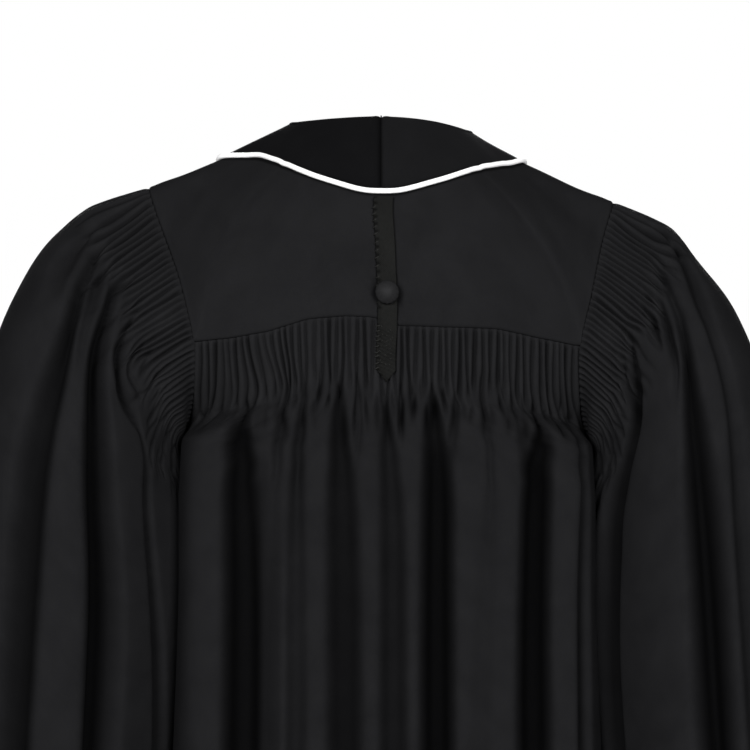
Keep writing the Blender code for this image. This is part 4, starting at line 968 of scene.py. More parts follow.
def panel_drops(face):
    """Rows of a panel: close together in the flutes and gathers, wider below, close at the hem."""
    fall = abs(HEM_Z - (BACK_SEAM_Z if face > 0 else FRONT_SEAM_Z))
    band = [-0.0014, SEAM_GAP, 0.0012, 0.0024, 0.004, 0.007, 0.012, 0.019, 0.026, 0.033,
            0.039, 0.044]
    gathers = np.linspace(0.048, 0.150, 33)
    below = 0.150 + (fall - 0.052 - 0.150) * np.linspace(0.0, 1.0, 42)[1:] ** 1.25
    hem = fall - np.array([0.046, 0.043, 0.040, 0.037, 0.034, 0.018, 0.005, 0.002, 0.0])
    return np.concatenate([band, gathers, below, hem])


def panel_lines(shares, drop, length, face):
    """Where a panel's columns hang, in metres from the middle: upright, then spread over the row.

    Upright, a column keeps its share of the top row, and its share to the sixth power follows the
    armhole. Behind, the flutes on the left lean to the middle by a bell curve across the band.
    """
    head = float(half_length(0.0, face)[0])
    spread = smooth((drop - FLUTES_UPRIGHT) / GATHERS_SPREAD)[:, None]
    outer = np.sign(shares) * np.abs(shares) ** 6
    upright = shares[None, :] * head + outer[None, :] * (length[:, None] - head)
    lines = (1.0 - spread) * upright + spread * shares[None, :] * length[:, None]
    if face > 0:
        leaning = between(drop, 0.0, LEAN_FULL, LEAN_FULL, LEAN_GONE)
        lines -= BAND_LEAN * leaning[:, None] * bell(shares[None, :] * head - LEAN_AT, LEAN_WIDTH)
    return lines


def panel_places(shares, drop, lines, creases, band_length):
    """Places along those lines once the columns have drawn together at the heads of the creases.

    Also gives how much of the flutes is left at each point, and how far its columns are squeezed.
    """
    rising = 1 if shares[-1] > shares[0] else -1
    keys, lines = shares[::rising], lines[:, ::rising]
    pinches = []
    for (_, first_drop, *_), (place, at, *_), *_ in creases:
        if first_drop < PINCH_TOP and at < PINCH_END:
            line = lines[np.abs(drop - at).argmin()]
            pinches.append((float(np.interp(place, line, keys)) * band_length, at))
    even = np.repeat((shares * band_length)[None, :], len(drop), axis=0)
    down = np.repeat(drop[:, None], len(shares), axis=1)
    drawn, left = draw_in(even, down, pinches, *sorted((even[0, 0], even[0, -1])))
    place = np.stack([np.interp(row, keys, line) for row, line in zip(drawn / band_length, lines)])
    return place, left, np.gradient(drawn, axis=1) / np.gradient(even, axis=1)


def make_panel(name, face, shares, flute_phase, creases, tucks, seed):
    """A panel of the robe below the yoke: flutes, then gathers, then hanging folds."""
    drop = panel_drops(face)
    length = half_length(drop, face)
    lines = panel_lines(shares, drop, length, face)
    band_length = float(half_length(0.05, face)[0])
    place, left, squeeze = panel_places(shares, drop, lines, creases, band_length)
    down = np.repeat(drop[:, None], len(shares), axis=1)
    base, out = on_body(drop, place, face)
    to_side = np.maximum(length[:, None] - np.abs(place), 0.0)
    near_arm = between(down, 0.07, 0.09, 0.14, 0.17) * smooth(to_side / 0.010)
    base += (eased(base, 12) - base) * near_arm[..., None]
    small = sum(crease_depth(place, down, crease) for crease in tucks)
    sunk = sum(crease_depth(place, down, crease) for crease in creases) + small
    sunk *= smooth(to_side / 0.012)
    from_seam = smooth((down - 0.0002) / SEAM_ROLL)
    valley = flutes(flute_phase[None, :], down, seed)
    relief = FLUTE_DEPTH * valley * left * (0.35 + 0.65 * from_seam) * np.clip(squeeze, 0.25, 1.1)
    relief += SEAM_SINK * (1.0 - from_seam) + UNDER_YOKE * (down < 0) - FLUTE_PROUD
    relief += seam_dip(to_side, BACK_SIDE_DIP if face > 0 else FRONT_SIDE_DIP, SIDE_DIP_WIDTH)
    relief -= hem_relief(drop[-1] - down)
    grid = hang(base - out * (sunk + relief)[..., None])
    piece = make_surface(name, grid, out, cloth_uv(grid), ROBE_CLOTH)
    # Wear and painted highlight on the flute crowns; painted shade in creases, tucks and flute
    # valleys, by their depth.
    set_value(piece, "crown", np.clip(1.0 - valley * 1.2, 0.0, 1.0) * left)
    dark = sunk / CREASE_FULL_SHADE + small / TUCK_FULL_SHADE + 0.5 * valley * left * from_seam
    set_value(piece, "valley", np.clip(dark, 0.0, 1.0))
    give_thickness(piece, CLOTH)
    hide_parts(name.replace("_cloth", ""))


def back_creases():
    """All the creases of the back."""
    long = [to_hem(rows, 1) for rows in BACK_CREASES]
    sides = [[(way * place, *rest) for place, *rest in BACK_SIDE_FOLD] for way in (1, -1)]
    return long + sides + short_creases(BACK_PINCHES)


def small_tucks(seed, count, low, high):
    """Fine short tucks under the flutes, at random places between low and high."""
    rng = np.random.default_rng(seed)
    made = []
    for place in low + (high - low) * (np.arange(count) + rng.uniform(0.15, 0.85, count)) / count:
        drop, length = rng.uniform(0.056, 0.076), rng.uniform(0.020, 0.062)
        lean = rng.uniform(-0.005, 0.005)
        width, depth = rng.uniform(0.0013, 0.0022), rng.uniform(0.0026, 0.0056)
        made.append([
            (place, drop, 0.6 * width, 0.0),
            (place + 0.3 * lean, drop + 0.3 * length, width, depth),
            (place + lean, drop + length, 1.7 * width, 0.0),
        ])
    return made


def front_creases(side):
    """All the creases of one front."""
    found = [to_hem(rows, -1) for rows in hanging_creases(FRONT_FOLDS, FRONT_FOLDS_END)]
    found += short_creases(FRONT_PINCHES)
    return [[(side * place, *rest) for place, *rest in rows] for rows in found]


def make_back():
    """The back: a flute for each whole turn of the phase, its middle between two of them."""
    count = BACK_FLUTES * PANEL_STEPS + 1
    phase = np.linspace(0, BACK_FLUTES, count) - BACK_FLUTES / 2
    tucks = small_tucks(7, 46, -0.205, 0.205)
    shares = np.linspace(-1.0, 1.0, count)
    make_panel("back_panel_cloth", 1, shares, phase, back_creases(), tucks, 11)


def make_front(side):
    """A front: flat cloth beside the opening, then flutes to the armhole."""
    name = "left" if side > 0 else "right"
    length = float(half_length(0.30, -1)[0])
    edge, plain = OPENING_GAP / length, PLAIN_FRONT / length
    flat = np.linspace(edge, plain, 13)[:-1]
    fluted = np.linspace(plain, 1.0, FRONT_FLUTES * PANEL_STEPS + 1)
    shares = side * np.concatenate([flat, fluted])
    counted = 0.5 + np.linspace(0, FRONT_FLUTES, len(fluted))
    phase = np.concatenate([np.full(len(flat), 0.5), counted])
    tucks = small_tucks(8 + int(side), 15, *sorted((side * 0.028, side * 0.200)))
    make_panel(f"front_panel_{name}_cloth", -1, shares, phase, front_creases(side), tucks,
               21 + int(side))


# ---- sleeves -----------------------------------------------------------------------------------


def sleeve_columns():
    """Places round a sleeve, and the flutes' phase at each: behind, plain under the arm, before."""
    count = SLEEVE_FLUTES * SLEEVE_STEPS + 1
    behind = np.linspace(0.0, SLEEVE_FLUTE_SPAN, count)
    under = np.linspace(SLEEVE_FLUTE_SPAN, 1.0 - SLEEVE_FLUTE_SPAN, 17)[1:-1]
    phase = np.linspace(0.0, SLEEVE_FLUTES, count)
    places = np.concatenate([behind, under, 1.0 - behind[:0:-1]])
    return places, np.concatenate([phase, np.full(len(under), 0.5), -phase[:0:-1]])


def slanted(q0, t, down, side):
    """Lines of a sleeve's flutes: each runs straight down and outwards, as seen from behind.

    Along a flute z + slope * x keeps its value at the seam. Further from the seam the lines turn
    back to equal shares of the way round.
    """
    slope = LEFT_FLUTE_SLOPE if side > 0 else RIGHT_FLUTE_SLOPE
    fine = np.linspace(0.0, 0.5, 401)
    lines = np.empty((len(t), len(q0)))
    for half in (1, -1):
        chosen = q0 <= 0.5 if half > 0 else q0 > 0.5
        turned = q0[chosen] if half > 0 else 1.0 - q0[chosen]
        seam = armhole(turned * half)
        level = seam[:, 2] + slope * seam[:, 0]
        for row, step in enumerate(t):
            ring = sleeve_rings((fine * half) % 1.0, np.full(401, step), side)
            height = np.minimum.accumulate(ring[:, 2] + slope * ring[:, 0] - 1e-6 * np.arange(401))
            met = np.interp(-level, -height, fine)
            fade = smooth(turned / 0.05) * smooth((0.5 - turned) / 0.05)
            fade *= 1.0 - smooth((down[row].mean() - 0.060) / 0.100)
            met = turned + fade * (met - turned)
            lines[row, chosen] = met if half > 0 else 1.0 - met
    return lines


def sleeve_creases(side):
    """All the creases of a sleeve, their places as metres of cloth round it."""
    back, fronts = LEFT_BACK_CREASES, LEFT_FRONT_FOLDS
    if side < 0:
        back, fronts = RIGHT_BACK_CREASES, RIGHT_FRONT_FOLDS
    place, lean = SLEEVE_PINCHES["place"], SLEEVE_PINCHES["lean"]
    mirrored = dict(SLEEVE_PINCHES, place=1.0 - place, lean=-lean)
    found = [*back, *short_creases(SLEEVE_PINCHES), *short_creases(mirrored)]
    found += hanging_creases(fronts, SLEEVE_FOLDS_END)
    return [[(q * ROUND_SLEEVE, *rest) for q, *rest in rows] for rows in found]


def sleeve_places(q0, t, down, creases, side):
    """Share of the way round at each point: on the slanted lines, drawn together at the creases.

    Also gives how much of the flutes is left there.
    """
    lines = slanted(q0, t, down, side)
    pinches = []
    for _, (place, at, *_), *_ in creases:
        if at < SLEEVE_PINCH_END:
            line = lines[np.abs(down.mean(axis=1) - at).argmin()]
            pinches.append((np.interp(place / ROUND_SLEEVE, line, q0) * ROUND_SLEEVE, at))
    even = np.broadcast_to(q0 * ROUND_SLEEVE, down.shape)
    drawn, left = draw_in(even, down, pinches, 0.0, ROUND_SLEEVE)
    q = np.stack([np.interp(row, q0, line) for row, line in zip(drawn / ROUND_SLEEVE, lines)])
    q[:, 0] = 0.0
    return q, left


def sleeve_swell(q, t, down, side):
    """How far a sleeve stands out past its plain rings: bell curves of the share of the way round.

    It swells beside the body below its side seam, and lies in over its top half way down.
    """
    against = bell(q - 0.480, 0.045) * smooth((down - 0.004) / 0.04)
    against *= 1.0 - smooth((t - 0.8) / 0.2)
    beside = bell(q - 0.405, 0.055) * smooth((down - 0.006) / 0.036)
    beside *= 1.0 - smooth((t - 0.85) / 0.15)
    flat = LEFT_TOP_FLAT if side > 0 else RIGHT_TOP_FLAT
    over_top = bell(np.minimum(q, 1.0 - q), 0.080) * between(t, 0.12, 0.22, 0.5, 0.8)
    return BESIDE_BODY * (0.6 * against + 2.2 * beside) - flat * over_top


def make_sleeve(side):
    """A bell sleeve: flutes round its head, gathers under them, long folds, and a turned cuff."""
    name = "left" if side > 0 else "right"
    q0, phase = sleeve_columns()
    t = np.concatenate([
        [0.0, 0.002, 0.004, 0.007, 0.012, 0.022, 0.036, 0.050, 0.064],
        np.linspace(0.076, 0.33, 32), np.linspace(0.35, 0.935, 27),
        [0.943, 0.949, 0.955, 0.961, 0.975, 0.990, 0.997, 1.0],
    ])
    q_even, t_all = np.broadcast_arrays(q0[None, :], t[:, None])
    steps = np.linalg.norm(np.diff(sleeve_rings(q_even, t_all, side), axis=0), axis=2)
    down = np.concatenate([np.zeros((1, len(q0))), np.cumsum(steps, axis=0)])
    creases = sleeve_creases(side)
    q, left = sleeve_places(q0, t, down, creases, side)
    base = sleeve_rings(q, t_all, side)
    base[..., 0] -= 0.0035 * (1.0 - smooth(down / 0.006)) * (0.3 + 0.7 * np.sin(math.pi * q0) ** 2)
    wrapped = np.concatenate([base[:, -3:], base, base[:, :3]], axis=1)
    out = grid_normals(wrapped, wrapped - wrapped.mean(axis=1, keepdims=True))[:, 3:-3]
    turn = int(side)
    tucks = small_tucks(41 + turn, 24, 0.03, 0.36) + small_tucks(51 + turn, 24, 0.44, 0.77)
    sunk = sum(crease_depth(q * ROUND_SLEEVE, down, crease) for crease in creases + tucks)
    under = smooth((np.abs(q_even - 0.5) - 0.03) / 0.09)
    from_seam = smooth((down - 0.0002) / SEAM_ROLL)
    valley = flutes(phase[None, :], down, 31 + turn)
    relief = FLUTE_DEPTH * valley * left * under * (0.35 + 0.65 * from_seam)
    relief += SEAM_SINK * (1.0 - from_seam) - FLUTE_PROUD
    relief -= hem_relief((1.0 - t_all) * CUFF_LENGTH) + sleeve_swell(q, t_all, down, side)
    mirror = (side, 1.0, 1.0)
    grid = hang((base - out * (sunk + relief)[..., None]) * mirror)
    piece = make_surface(f"sleeve_{name}_cloth", grid, out * mirror, cloth_uv(grid, True),
                         ROBE_CLOTH, round_it=True)
    # Wear and painted highlight on the flute crowns; painted shade in creases and flute valleys, by
    # their depth.
    set_value(piece, "crown", np.clip(1.0 - valley * 1.2, 0.0, 1.0) * left)
    dark = sunk / SLEEVE_FULL_SHADE + 0.5 * valley * left * from_seam
    set_value(piece, "valley", np.clip(dark, 0.0, 1.0))
    give_thickness(piece, CLOTH)
    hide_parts(f"sleeve_{name}")


# ---- yoke, collar and piping -------------------------------------------------------------------


def yoke_places(end, per_part):
    """Places round half the neck: the back, over the shoulder, the front."""
    back = np.linspace(0.0, BACK_CORNER_G, per_part)
    over = np.linspace(BACK_CORNER_G, FRONT_CORNER_G, 2 * per_part)[1:]
    return np.concatenate([back, over, np.linspace(FRONT_CORNER_G, end, per_part)[1:]])


def make_yoke():
    """The smooth yoke: its edge rolls over the seam, and the cloth lies in faint soft waves."""
    half = yoke_places(1.0, 34)
    g = np.concatenate([-half[:0:-1], half])
    by_seam = [0.955, 0.967, 0.977, 0.985, 0.991, 0.996, 1.0]
    v = np.concatenate([np.linspace(0.0, 0.94, 34), by_seam])
    g_all, v_all = np.broadcast_arrays(np.abs(g)[:, None], v[None, :])
    steps = np.linalg.norm(np.diff(yoke_points(g_all, v_all), axis=1), axis=2)
    length = steps.sum(axis=1)[:, None]
    edge = np.where(g < 0, collar_width(np.abs(g), -1.0), collar_width(np.abs(g), 1.0))[:, None]
    v_all = np.sort(np.concatenate([v_all, edge + BESIDE_PIPING / length], axis=1), axis=1)
    g_all = np.broadcast_to(np.abs(g)[:, None], v_all.shape)
    outer = yoke_points(g_all, v_all)
    normal = yoke_normals(g_all, v_all)
    to_seam = (1.0 - v_all) * length
    from_piping = (v_all - edge) * length - PIPING_REACH - PIPING_RADIUS
    side = np.where(g < 0, -1.0, 1.0)[:, None]
    x, z = outer[..., 0] * side, outer[..., 2]
    waves = 0.0004 * np.sin(38 * x + 21 * z + 0.7) + 0.0003 * np.sin(61 * z - 27 * x + 2.0)
    rise = waves * smooth(to_seam / 0.03)
    rise = rise + 0.0005 * bell(to_seam - 0.0032, 0.0024) - 0.0009 * bell(to_seam, 0.0012)
    grid = outer + normal * rise[..., None]
    for block in (grid, normal):
        block[..., 0] *= side
    from_button = np.hypot(grid[..., 0], grid[..., 2] - BUTTON_Z) + (grid[..., 1] < 0)
    grid -= normal * (0.0010 * bell(from_button, 0.016))[..., None]
    grid = hang(grid)
    piece = make_surface("yoke_cloth", grid, normal, cloth_uv(grid), ROBE_CLOTH)
    # Painted shadow: a dark ring round the button and a dark line under the piping, and painted
    # shade along the seam's roll.
    button_shadow = 0.75 * bell(from_button - 0.0125, 0.0035)
    piping_shadow = 0.9 * bell(from_piping - 0.0006, 0.0013) * (g_all < COLLAR_END_G - 0.012)
    set_value(piece, "valley", np.maximum(button_shadow + 0.5 * bell(to_seam, 0.0010), piping_shadow))
    give_thickness(piece, YOKE_CLOTH)
    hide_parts("yoke")


def collar_width(g, side):
    """Share of the yoke that the collar covers, by its left and its right half."""
    rounded = read(COLLAR, "g", "width", g) + 0.54 * g * bell(g, 0.05)
    return rounded + (0.135 * bell(g - 0.535, 0.075) if side > 0 else 0.0)


def collar_profile(g, fall_steps, side):
    """The middle of the collar's wall at each g: up its stand, half a turn over, and down its fall.

    The fall is a parabola whose middle stands off the yoke by 0.30 of the stand.
    """
    neck = yoke_points(g, np.zeros(len(g)))
    stand, width = read(NECK, "g", "stand", g), collar_width(g, side)
    step = 0.01
    along = yoke_points(np.minimum(g + step, 1.0), 0 * g)
    along -= yoke_points(np.maximum(g - step, 0.0), 0 * g)
    inwards = unit(neck - yoke_points(g, np.full(len(g), 5 * step)))
    along = unit(along)
    along[g == 0] = (1.0, 0.0, 0.0)
    front = smooth((g - 0.40) / 0.35)[:, None]
    up = (1.0 - front) * np.array([0.0, 0.0, 1.0]) + front * inwards
    up = unit(up - along * (up * along).sum(axis=1, keepdims=True))
    away = np.cross(up, along)
    lines = [neck + up * SEAM_GAP * 1.5]
    top = np.maximum(stand - COLLAR_ROLL, 0.002)
    for turn in np.radians(np.linspace(180, 0, 11)):
        lines.append(neck + away * COLLAR_ROLL * (1 + math.cos(turn))
                     + up * (top + COLLAR_ROLL * math.sin(turn))[:, None])
    start = lines[-1]
    end = yoke_points(g, width) + yoke_normals(g, width) * COLLAR_CLEAR
    half = yoke_points(g, width / 2) + yoke_normals(g, width / 2) * COLLAR_CLEAR
    half = half + yoke_normals(g, width / 2) * (0.30 * stand)[:, None]
    turn_at = 2 * half - (start + end) / 2
    for w in np.append(np.linspace(0.0, 0.955, fall_steps)[1:], (0.970, 0.985, 1.0)):
        lines.append((1 - w) ** 2 * start + 2 * w * (1 - w) * turn_at + w**2 * end)
    return np.stack(lines, axis=1)


def make_collar(side):
    """Half the collar: its roll, its soft fall, and the seam at the middle of the back drawn in."""
    name = "left" if side > 0 else "right"
    g = yoke_places(COLLAR_END_G, 36)
    g = np.concatenate([[0.0, 0.002, 0.005, 0.009, 0.014], g[1:][g[1:] > 0.016]])
    grid = collar_profile(g, 22, side)
    grid[0, :, 0] = 0.0
    out = grid_normals(grid, np.tile([0.0, 0.0, 1.0], grid.shape[:2] + (1,)))
    edge = np.linalg.norm(grid - grid[:1], axis=-1)
    dip = seam_dip(edge, 0.0016, 0.0022) - 0.0003 * bell(edge - 0.005, 0.003)
    grid = grid - out * dip[..., None]
    grid[..., 0] = np.maximum(grid[..., 0], 0.0) * side
    out[..., 0] *= side
    grid = hang(grid)
    piece = make_surface(f"collar_{name}_cloth", grid, out, cloth_uv(grid),
                         COLLAR_LEFT_SHADED if side > 0 else COLLAR_RIGHT_LIT)
    # Painted shade along the middle seam, wider on the left half, and a painted shadow line just
    # above the piping.
    to_piping = np.linalg.norm(grid - grid[:, -1:], axis=-1)
    set_value(piece, "valley", np.maximum(0.95 * bell(edge, 0.0034 if side > 0 else 0.0016),
                                          0.9 * bell(to_piping, 0.0022)))
    give_thickness(piece, COLLAR_CLOTH, 0.0)
    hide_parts(f"collar_{name}")


def piping_path(reach, lift):
    """The middle of the piping round the collar's edge, from its right end to its left one."""
    half = yoke_places(COLLAR_END_G - 0.012, 60)
    lines = []
    for side in (-1.0, 1.0):
        edge = collar_profile(half, 4, side)[:, -1]
        width = collar_width(half, side)
        down = unit(yoke_points(half, width + 0.02) - yoke_points(half, width))
        line = edge + down * reach + yoke_normals(half, width) * lift
        line[0, 0] = 0.0
        lines.append(line * (side, 1.0, 1.0))
    return hang(eased(np.concatenate([lines[0][:0:-1], lines[1]]), 8))


def make_piping():
    """The white corded piping round the collar's edge, with rounded ends."""
    path = piping_path(PIPING_REACH, PIPING_RADIUS + SEAM_GAP - COLLAR_CLEAR)
    start, end = unit(path[0] - path[1]), unit(path[-1] - path[-2])
    ends = np.array([0.35, 0.70, 0.92, 1.0]) * PIPING_RADIUS
    tips = path[0] + start * ends[::-1, None], path[-1] + end * ends[:, None]
    path = np.concatenate([tips[0], path, tips[1]])
    cap = np.sqrt(np.maximum(1.0 - (ends / PIPING_RADIUS) ** 2, 0.003))
    radius = PIPING_RADIUS * np.concatenate([cap[::-1], np.ones(len(path) - 2 * len(ends)), cap])
    grid, out = tube(path, radius, 14)
    piece = make_surface("collar_piping_satin", grid, out, cloth_uv(grid, True), PIPING_SATIN,
                         round_it=True)
    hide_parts("collar_piping")


# ---- strap, button and placket -----------------------------------------------------------------


def strap_row(x, v, drop):
    """Points across the middle of the back and the way out: on the yoke at v, or at a drop."""
    if v is not None:
        slope = yoke_points(np.array([0.02]), np.array([v]))[0, 0] / 0.02
        g, v = np.abs(x) / slope, np.full(len(x), v)
        points, normals = yoke_points(g, v), yoke_normals(g, v)
        side = np.where(x < 0, -1.0, 1.0)
        points[:, 0] *= side
        normals[:, 0] *= side
        return points, normals
    points, normals = on_body(np.array([drop]), x[None, :], 1)
    return points[0], normals[0]


def strap_middle(a):
    """How far the strap's middle lies to the left: it is pinned a little askew."""
    return -0.0026 + 0.0042 * a + 0.0004 * math.sin(17 * a)


def strap_surface(x, along):
    """Points and normals of the strap's seat: x across, and shares of the way down it.

    Its top is hidden under the collar. The first part lies on the yoke, the rest on the flutes.
    """
    points, normals = [], []
    for a in along:
        if a <= STRAP_SEAM:
            row = strap_row(x, STRAP_TOP + (0.985 - STRAP_TOP) * a / STRAP_SEAM, None)
        else:
            below = (a - STRAP_SEAM) / (1.0 - STRAP_SEAM)
            row = strap_row(x, None, 0.004 + (STRAP_END_DROP - 0.004) * below)
        points.append(row[0])
        normals.append(row[1])
    return np.stack(points), np.stack(normals)


def pucker(across, a):
    """How much the stitches draw the strap's left edge in, 0 to 1: waves of its share along."""
    turns = 2 * math.pi * a / (WHIP_STEP if a < STRAP_SEAM else TACK_STEP)
    edge = smooth((across - 0.45) / 0.3) * (0.5 + 0.5 * math.cos(turns)) ** 2
    end = smooth((a - 0.69) / 0.03) * (0.5 + 0.5 * np.sin(turns * 1.3 + 5.0 * across)) ** 2
    return np.clip(edge + 0.55 * end, 0.0, 1.0)


def make_strap():
    """The narrow strap: a flat band with rounded edges that ends in a point."""
    half = STRAP_WIDTH / 2
    profile = np.array([
        (-1.0, 0.0), (-1.0, 0.55), (-0.97, 0.88), (-0.90, 1.0), (-0.6, 1.03), (-0.2, 1.05),
        (0.2, 1.05), (0.45, 1.04), (0.6, 1.03), (0.75, 1.02), (0.90, 1.0), (0.97, 0.88),
        (1.0, 0.55), (1.0, 0.0),
    ])
    point = np.linspace(STRAP_SEWN + 0.005, 1.0, 14)
    along = np.concatenate([np.linspace(0.0, STRAP_SEWN, 200), point])
    narrowing = 1.0 - 0.97 * np.maximum((along - STRAP_SEWN) / (1.0 - STRAP_SEWN), 0.0)
    rows = []
    for a, share in zip(along, narrowing):
        x = profile[:, 0] * half * share + strap_middle(a)
        points, normals = strap_surface(x, [a])
        rise = STRAP_CLEAR + STRAP_THICK * profile[:, 1] + 0.0002 * math.sin(41 * a + 1.0)
        rise -= 0.0007 * pucker(profile[:, 0], a)
        rows.append((points[0] + normals[0] * rise[:, None], normals[0]))
    grid = hang(np.stack([row[0] for row in rows]))
    out = np.stack([row[1] for row in rows])
    piece = make_surface("hood_strap_cloth", grid, out, cloth_uv(grid), STRAP_CLOTH)
    # Painted shade: darker along both edges and where the stitches draw the edge in.
    drawn = np.stack([pucker(profile[:, 0], a) for a in along])
    edges = (np.abs(profile[:, 0]) > 0.95)[None, :]
    set_value(piece, "valley", np.maximum(edges * 0.8, 0.75 * drawn))
    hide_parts("hood_strap")


STITCHES = []


def add_stitches(starts, ends, normals, thickness, bow):
    """Short threads from start to end, each five rings of five points on an arch 4t(1 - t) high."""
    t = np.linspace(0.0, 1.0, 5)[None, :, None]
    arch = normals[:, None, :] * 4.0 * t * (1.0 - t) * bow
    path = starts[:, None, :] + (ends - starts)[:, None, :] * t + arch
    along = unit((ends - starts)[:, None, :])
    across = unit(np.cross(along, normals[:, None, :]))
    up = np.cross(across, along)
    turn = np.linspace(0, 2 * math.pi, 5, endpoint=False)
    taper = np.array([0.35, 1.0, 1.05, 1.0, 0.35])[None, :, None, None]
    ring = np.cos(turn)[:, None] * up[:, :, None, :] + np.sin(turn)[:, None] * across[:, :, None, :]
    STITCHES.append(path[:, :, None, :] + ring * thickness * taper)


def make_stitches():
    """All the visible sewing thread as one mesh."""
    threads = np.concatenate(STITCHES)
    count, rings, sides = threads.shape[:3]
    r, s = np.meshgrid(np.arange(rings - 1), np.arange(sides), indexing="ij")
    after = (s + 1) % sides
    low, high = r * sides, (r + 1) * sides
    quads = np.stack([low + s, low + after, high + after, high + s], -1).reshape(-1, 4)
    first = (np.arange(count) * rings * sides)[:, None]
    faces = (quads[None] + first[..., None]).reshape(-1, 4).tolist()
    ends = np.array([np.arange(sides)[::-1], np.arange(sides) + (rings - 1) * sides])
    faces += (ends[None] + first[..., None]).reshape(-1, sides).tolist()
    mesh = bpy.data.meshes.new("sewing_thread")
    mesh.from_pydata(threads.reshape(-1, 3).tolist(), [], faces)
    mesh.uv_layers.new(name="cloth")
    mesh.shade_smooth()
    mesh.update()
    piece = place_piece("sewing_thread", mesh, THREAD)


def sew_strap():
    """Whip stitches down the strap's left edge, and slanting tacks across its lower end."""
    half = STRAP_WIDTH / 2

    def spot(x, a, rise):
        """A point that far off the strap's seat, and the way out there."""
        points, normals = strap_surface(np.array([x, 0.5 * x]), [a])
        return points[0, 0] + normals[0, 0] * rise, normals[0, 0]

    def sew(pairs, thickness, bow):
        """Threads between pairs of such spots."""
        starts, ends, outs = [], [], []
        for (xa, aa, ra), (xb, ab, rb) in pairs:
            start, out = spot(xa, aa, ra)
            starts.append(start)
            ends.append(spot(xb, ab, rb)[0])
            outs.append(out)
        add_stitches(hang(np.array(starts)), hang(np.array(ends)), np.array(outs), thickness, bow)

    rng = np.random.default_rng(5)
    top = STRAP_CLEAR + STRAP_THICK
    whips = []
    above, below = np.arange(0.07, 0.66, WHIP_STEP), np.arange(0.69, STRAP_SEWN, TACK_STEP)
    for a in np.concatenate([above, below]):
        a += rng.uniform(-0.008, 0.008)
        outer, inner = strap_middle(a) + half * 1.16, strap_middle(a) + half * 0.66
        whips.append(((outer, a + 0.006, 0.0002), (inner, a - 0.008, top + 0.0002)))
    sew(whips, 0.0006, 0.0007)
    tacks = []
    for a in np.arange(0.70, STRAP_SEWN, 0.033):
        for x in (-0.55, -0.05, 0.42):
            spot_x = strap_middle(a) + half * (x + rng.uniform(-0.14, 0.14))
            slant, at = rng.uniform(-0.014, 0.014), a + rng.uniform(-0.010, 0.010)
            far = spot_x + half * rng.uniform(0.08, 0.26)
            tacks.append(((spot_x, at, top), (far, at + slant, top)))
    sew(tacks, 0.0005, 0.0005)


def make_button():
    """The covered button: a profile turned round, with the cloth's small tucks round its rim.

    Its radius goes with the sine of an angle that runs past the rim, its height with the cosine.
    """
    v = np.linspace(0.0, 1.0, 401)
    heights = yoke_points(np.zeros(401), v)[:, 2]
    at = np.array([np.interp(-BUTTON_Z, -heights, v)])
    seat, normal = yoke_points(np.zeros(1), at)[0], yoke_normals(np.zeros(1), at)[0]
    u = np.linspace(0.0, 1.0, 40)
    angle = u * math.radians(112)
    r = BUTTON_RADIUS * np.sin(angle) ** 0.92
    h = BUTTON_HEIGHT * (0.30 + np.where(angle > math.pi / 2, 0.75, 0.70) * np.cos(angle))
    turn = np.linspace(0, 2 * math.pi, 96, endpoint=False)
    tucks = 1.0 + 0.022 * np.cos(16 * turn)[None, :] * smooth((u - 0.55) / 0.3)[:, None]
    side = np.array([1.0, 0.0, 0.0])
    up = np.cross(normal, side)
    ring = np.cos(turn)[:, None] * side + np.sin(turn)[:, None] * up
    flat = ring[None] * (r[:, None] * tucks)[..., None]
    clear = STRAP_CLEAR + STRAP_THICK + SEAM_GAP + 0.0012
    grid = seat + normal * clear + flat + normal * h[:, None, None]
    grid += hang(seat) - seat
    piece = make_surface("hood_button_cloth", grid, flat + normal * 0.004, cloth_uv(grid, True),
                         BUTTON_CLOTH, round_it=True)
    # Painted highlight on the dome's top, and painted shade round its rim.
    for look, values in (("crown", 1.6 * bell(u, 0.22)), ("valley", smooth((u - 0.62) / 0.2))):
        set_value(piece, look, np.repeat(values[:, None], len(turn), axis=1))
    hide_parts("hood_button")


def make_placket():
    """The flat band down the front, with its edges rounded and a sewn line inside each."""
    fall = abs(HEM_Z - FRONT_SEAM_Z) - 0.001
    long_part = np.linspace(0.012, fall - 0.004, 110)
    drop = np.concatenate([[0.004, 0.006], long_part, [fall - 0.002, fall]])
    share = np.array([0.0, 0.3, 0.6, 0.78, PLACKET_SEWN, 0.86, 0.94, 0.985, 1.0, 1.0])
    rise = np.array([1.05, 1.04, 1.02, 0.94, 0.78, 0.92, 1.0, 0.9, 0.6, 0.0])
    share, rise = np.append(-share[:0:-1], share), np.append(rise[:0:-1], rise)
    place = np.repeat((share * PLACKET_WIDTH / 2)[None, :], len(drop), axis=0)
    base, out = on_body(drop, place, -1)
    wave = 0.0004 * np.sin(23 * drop)[:, None] * (rise > 0)[None, :]
    grid = hang(base + out * (SEAM_GAP + PLACKET_THICK * rise[None, :] + wave)[..., None])
    piece = make_surface("front_placket_cloth", grid, out, cloth_uv(grid), ROBE_CLOTH)
    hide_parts("front_placket")
    down = np.arange(0.012, fall - 0.012, PLACKET_STEP)
    for line in (-PLACKET_SEWN, PLACKET_SEWN):
        at = np.full((len(down), 2), line * PLACKET_WIDTH / 2)
        starts, way_out = on_body(down, at, -1)
        ends, _ = on_body(down + PLACKET_STITCH, at, -1)
        way_out = way_out[:, 0]
        lift = way_out * (SEAM_GAP + PLACKET_THICK * 0.9)
        pair = hang(starts[:, 0] + lift), hang(ends[:, 0] + lift)
        add_stitches(*pair, way_out, 0.00035, 0.0003)


# ---- studio ------------------------------------------------------------------------------------


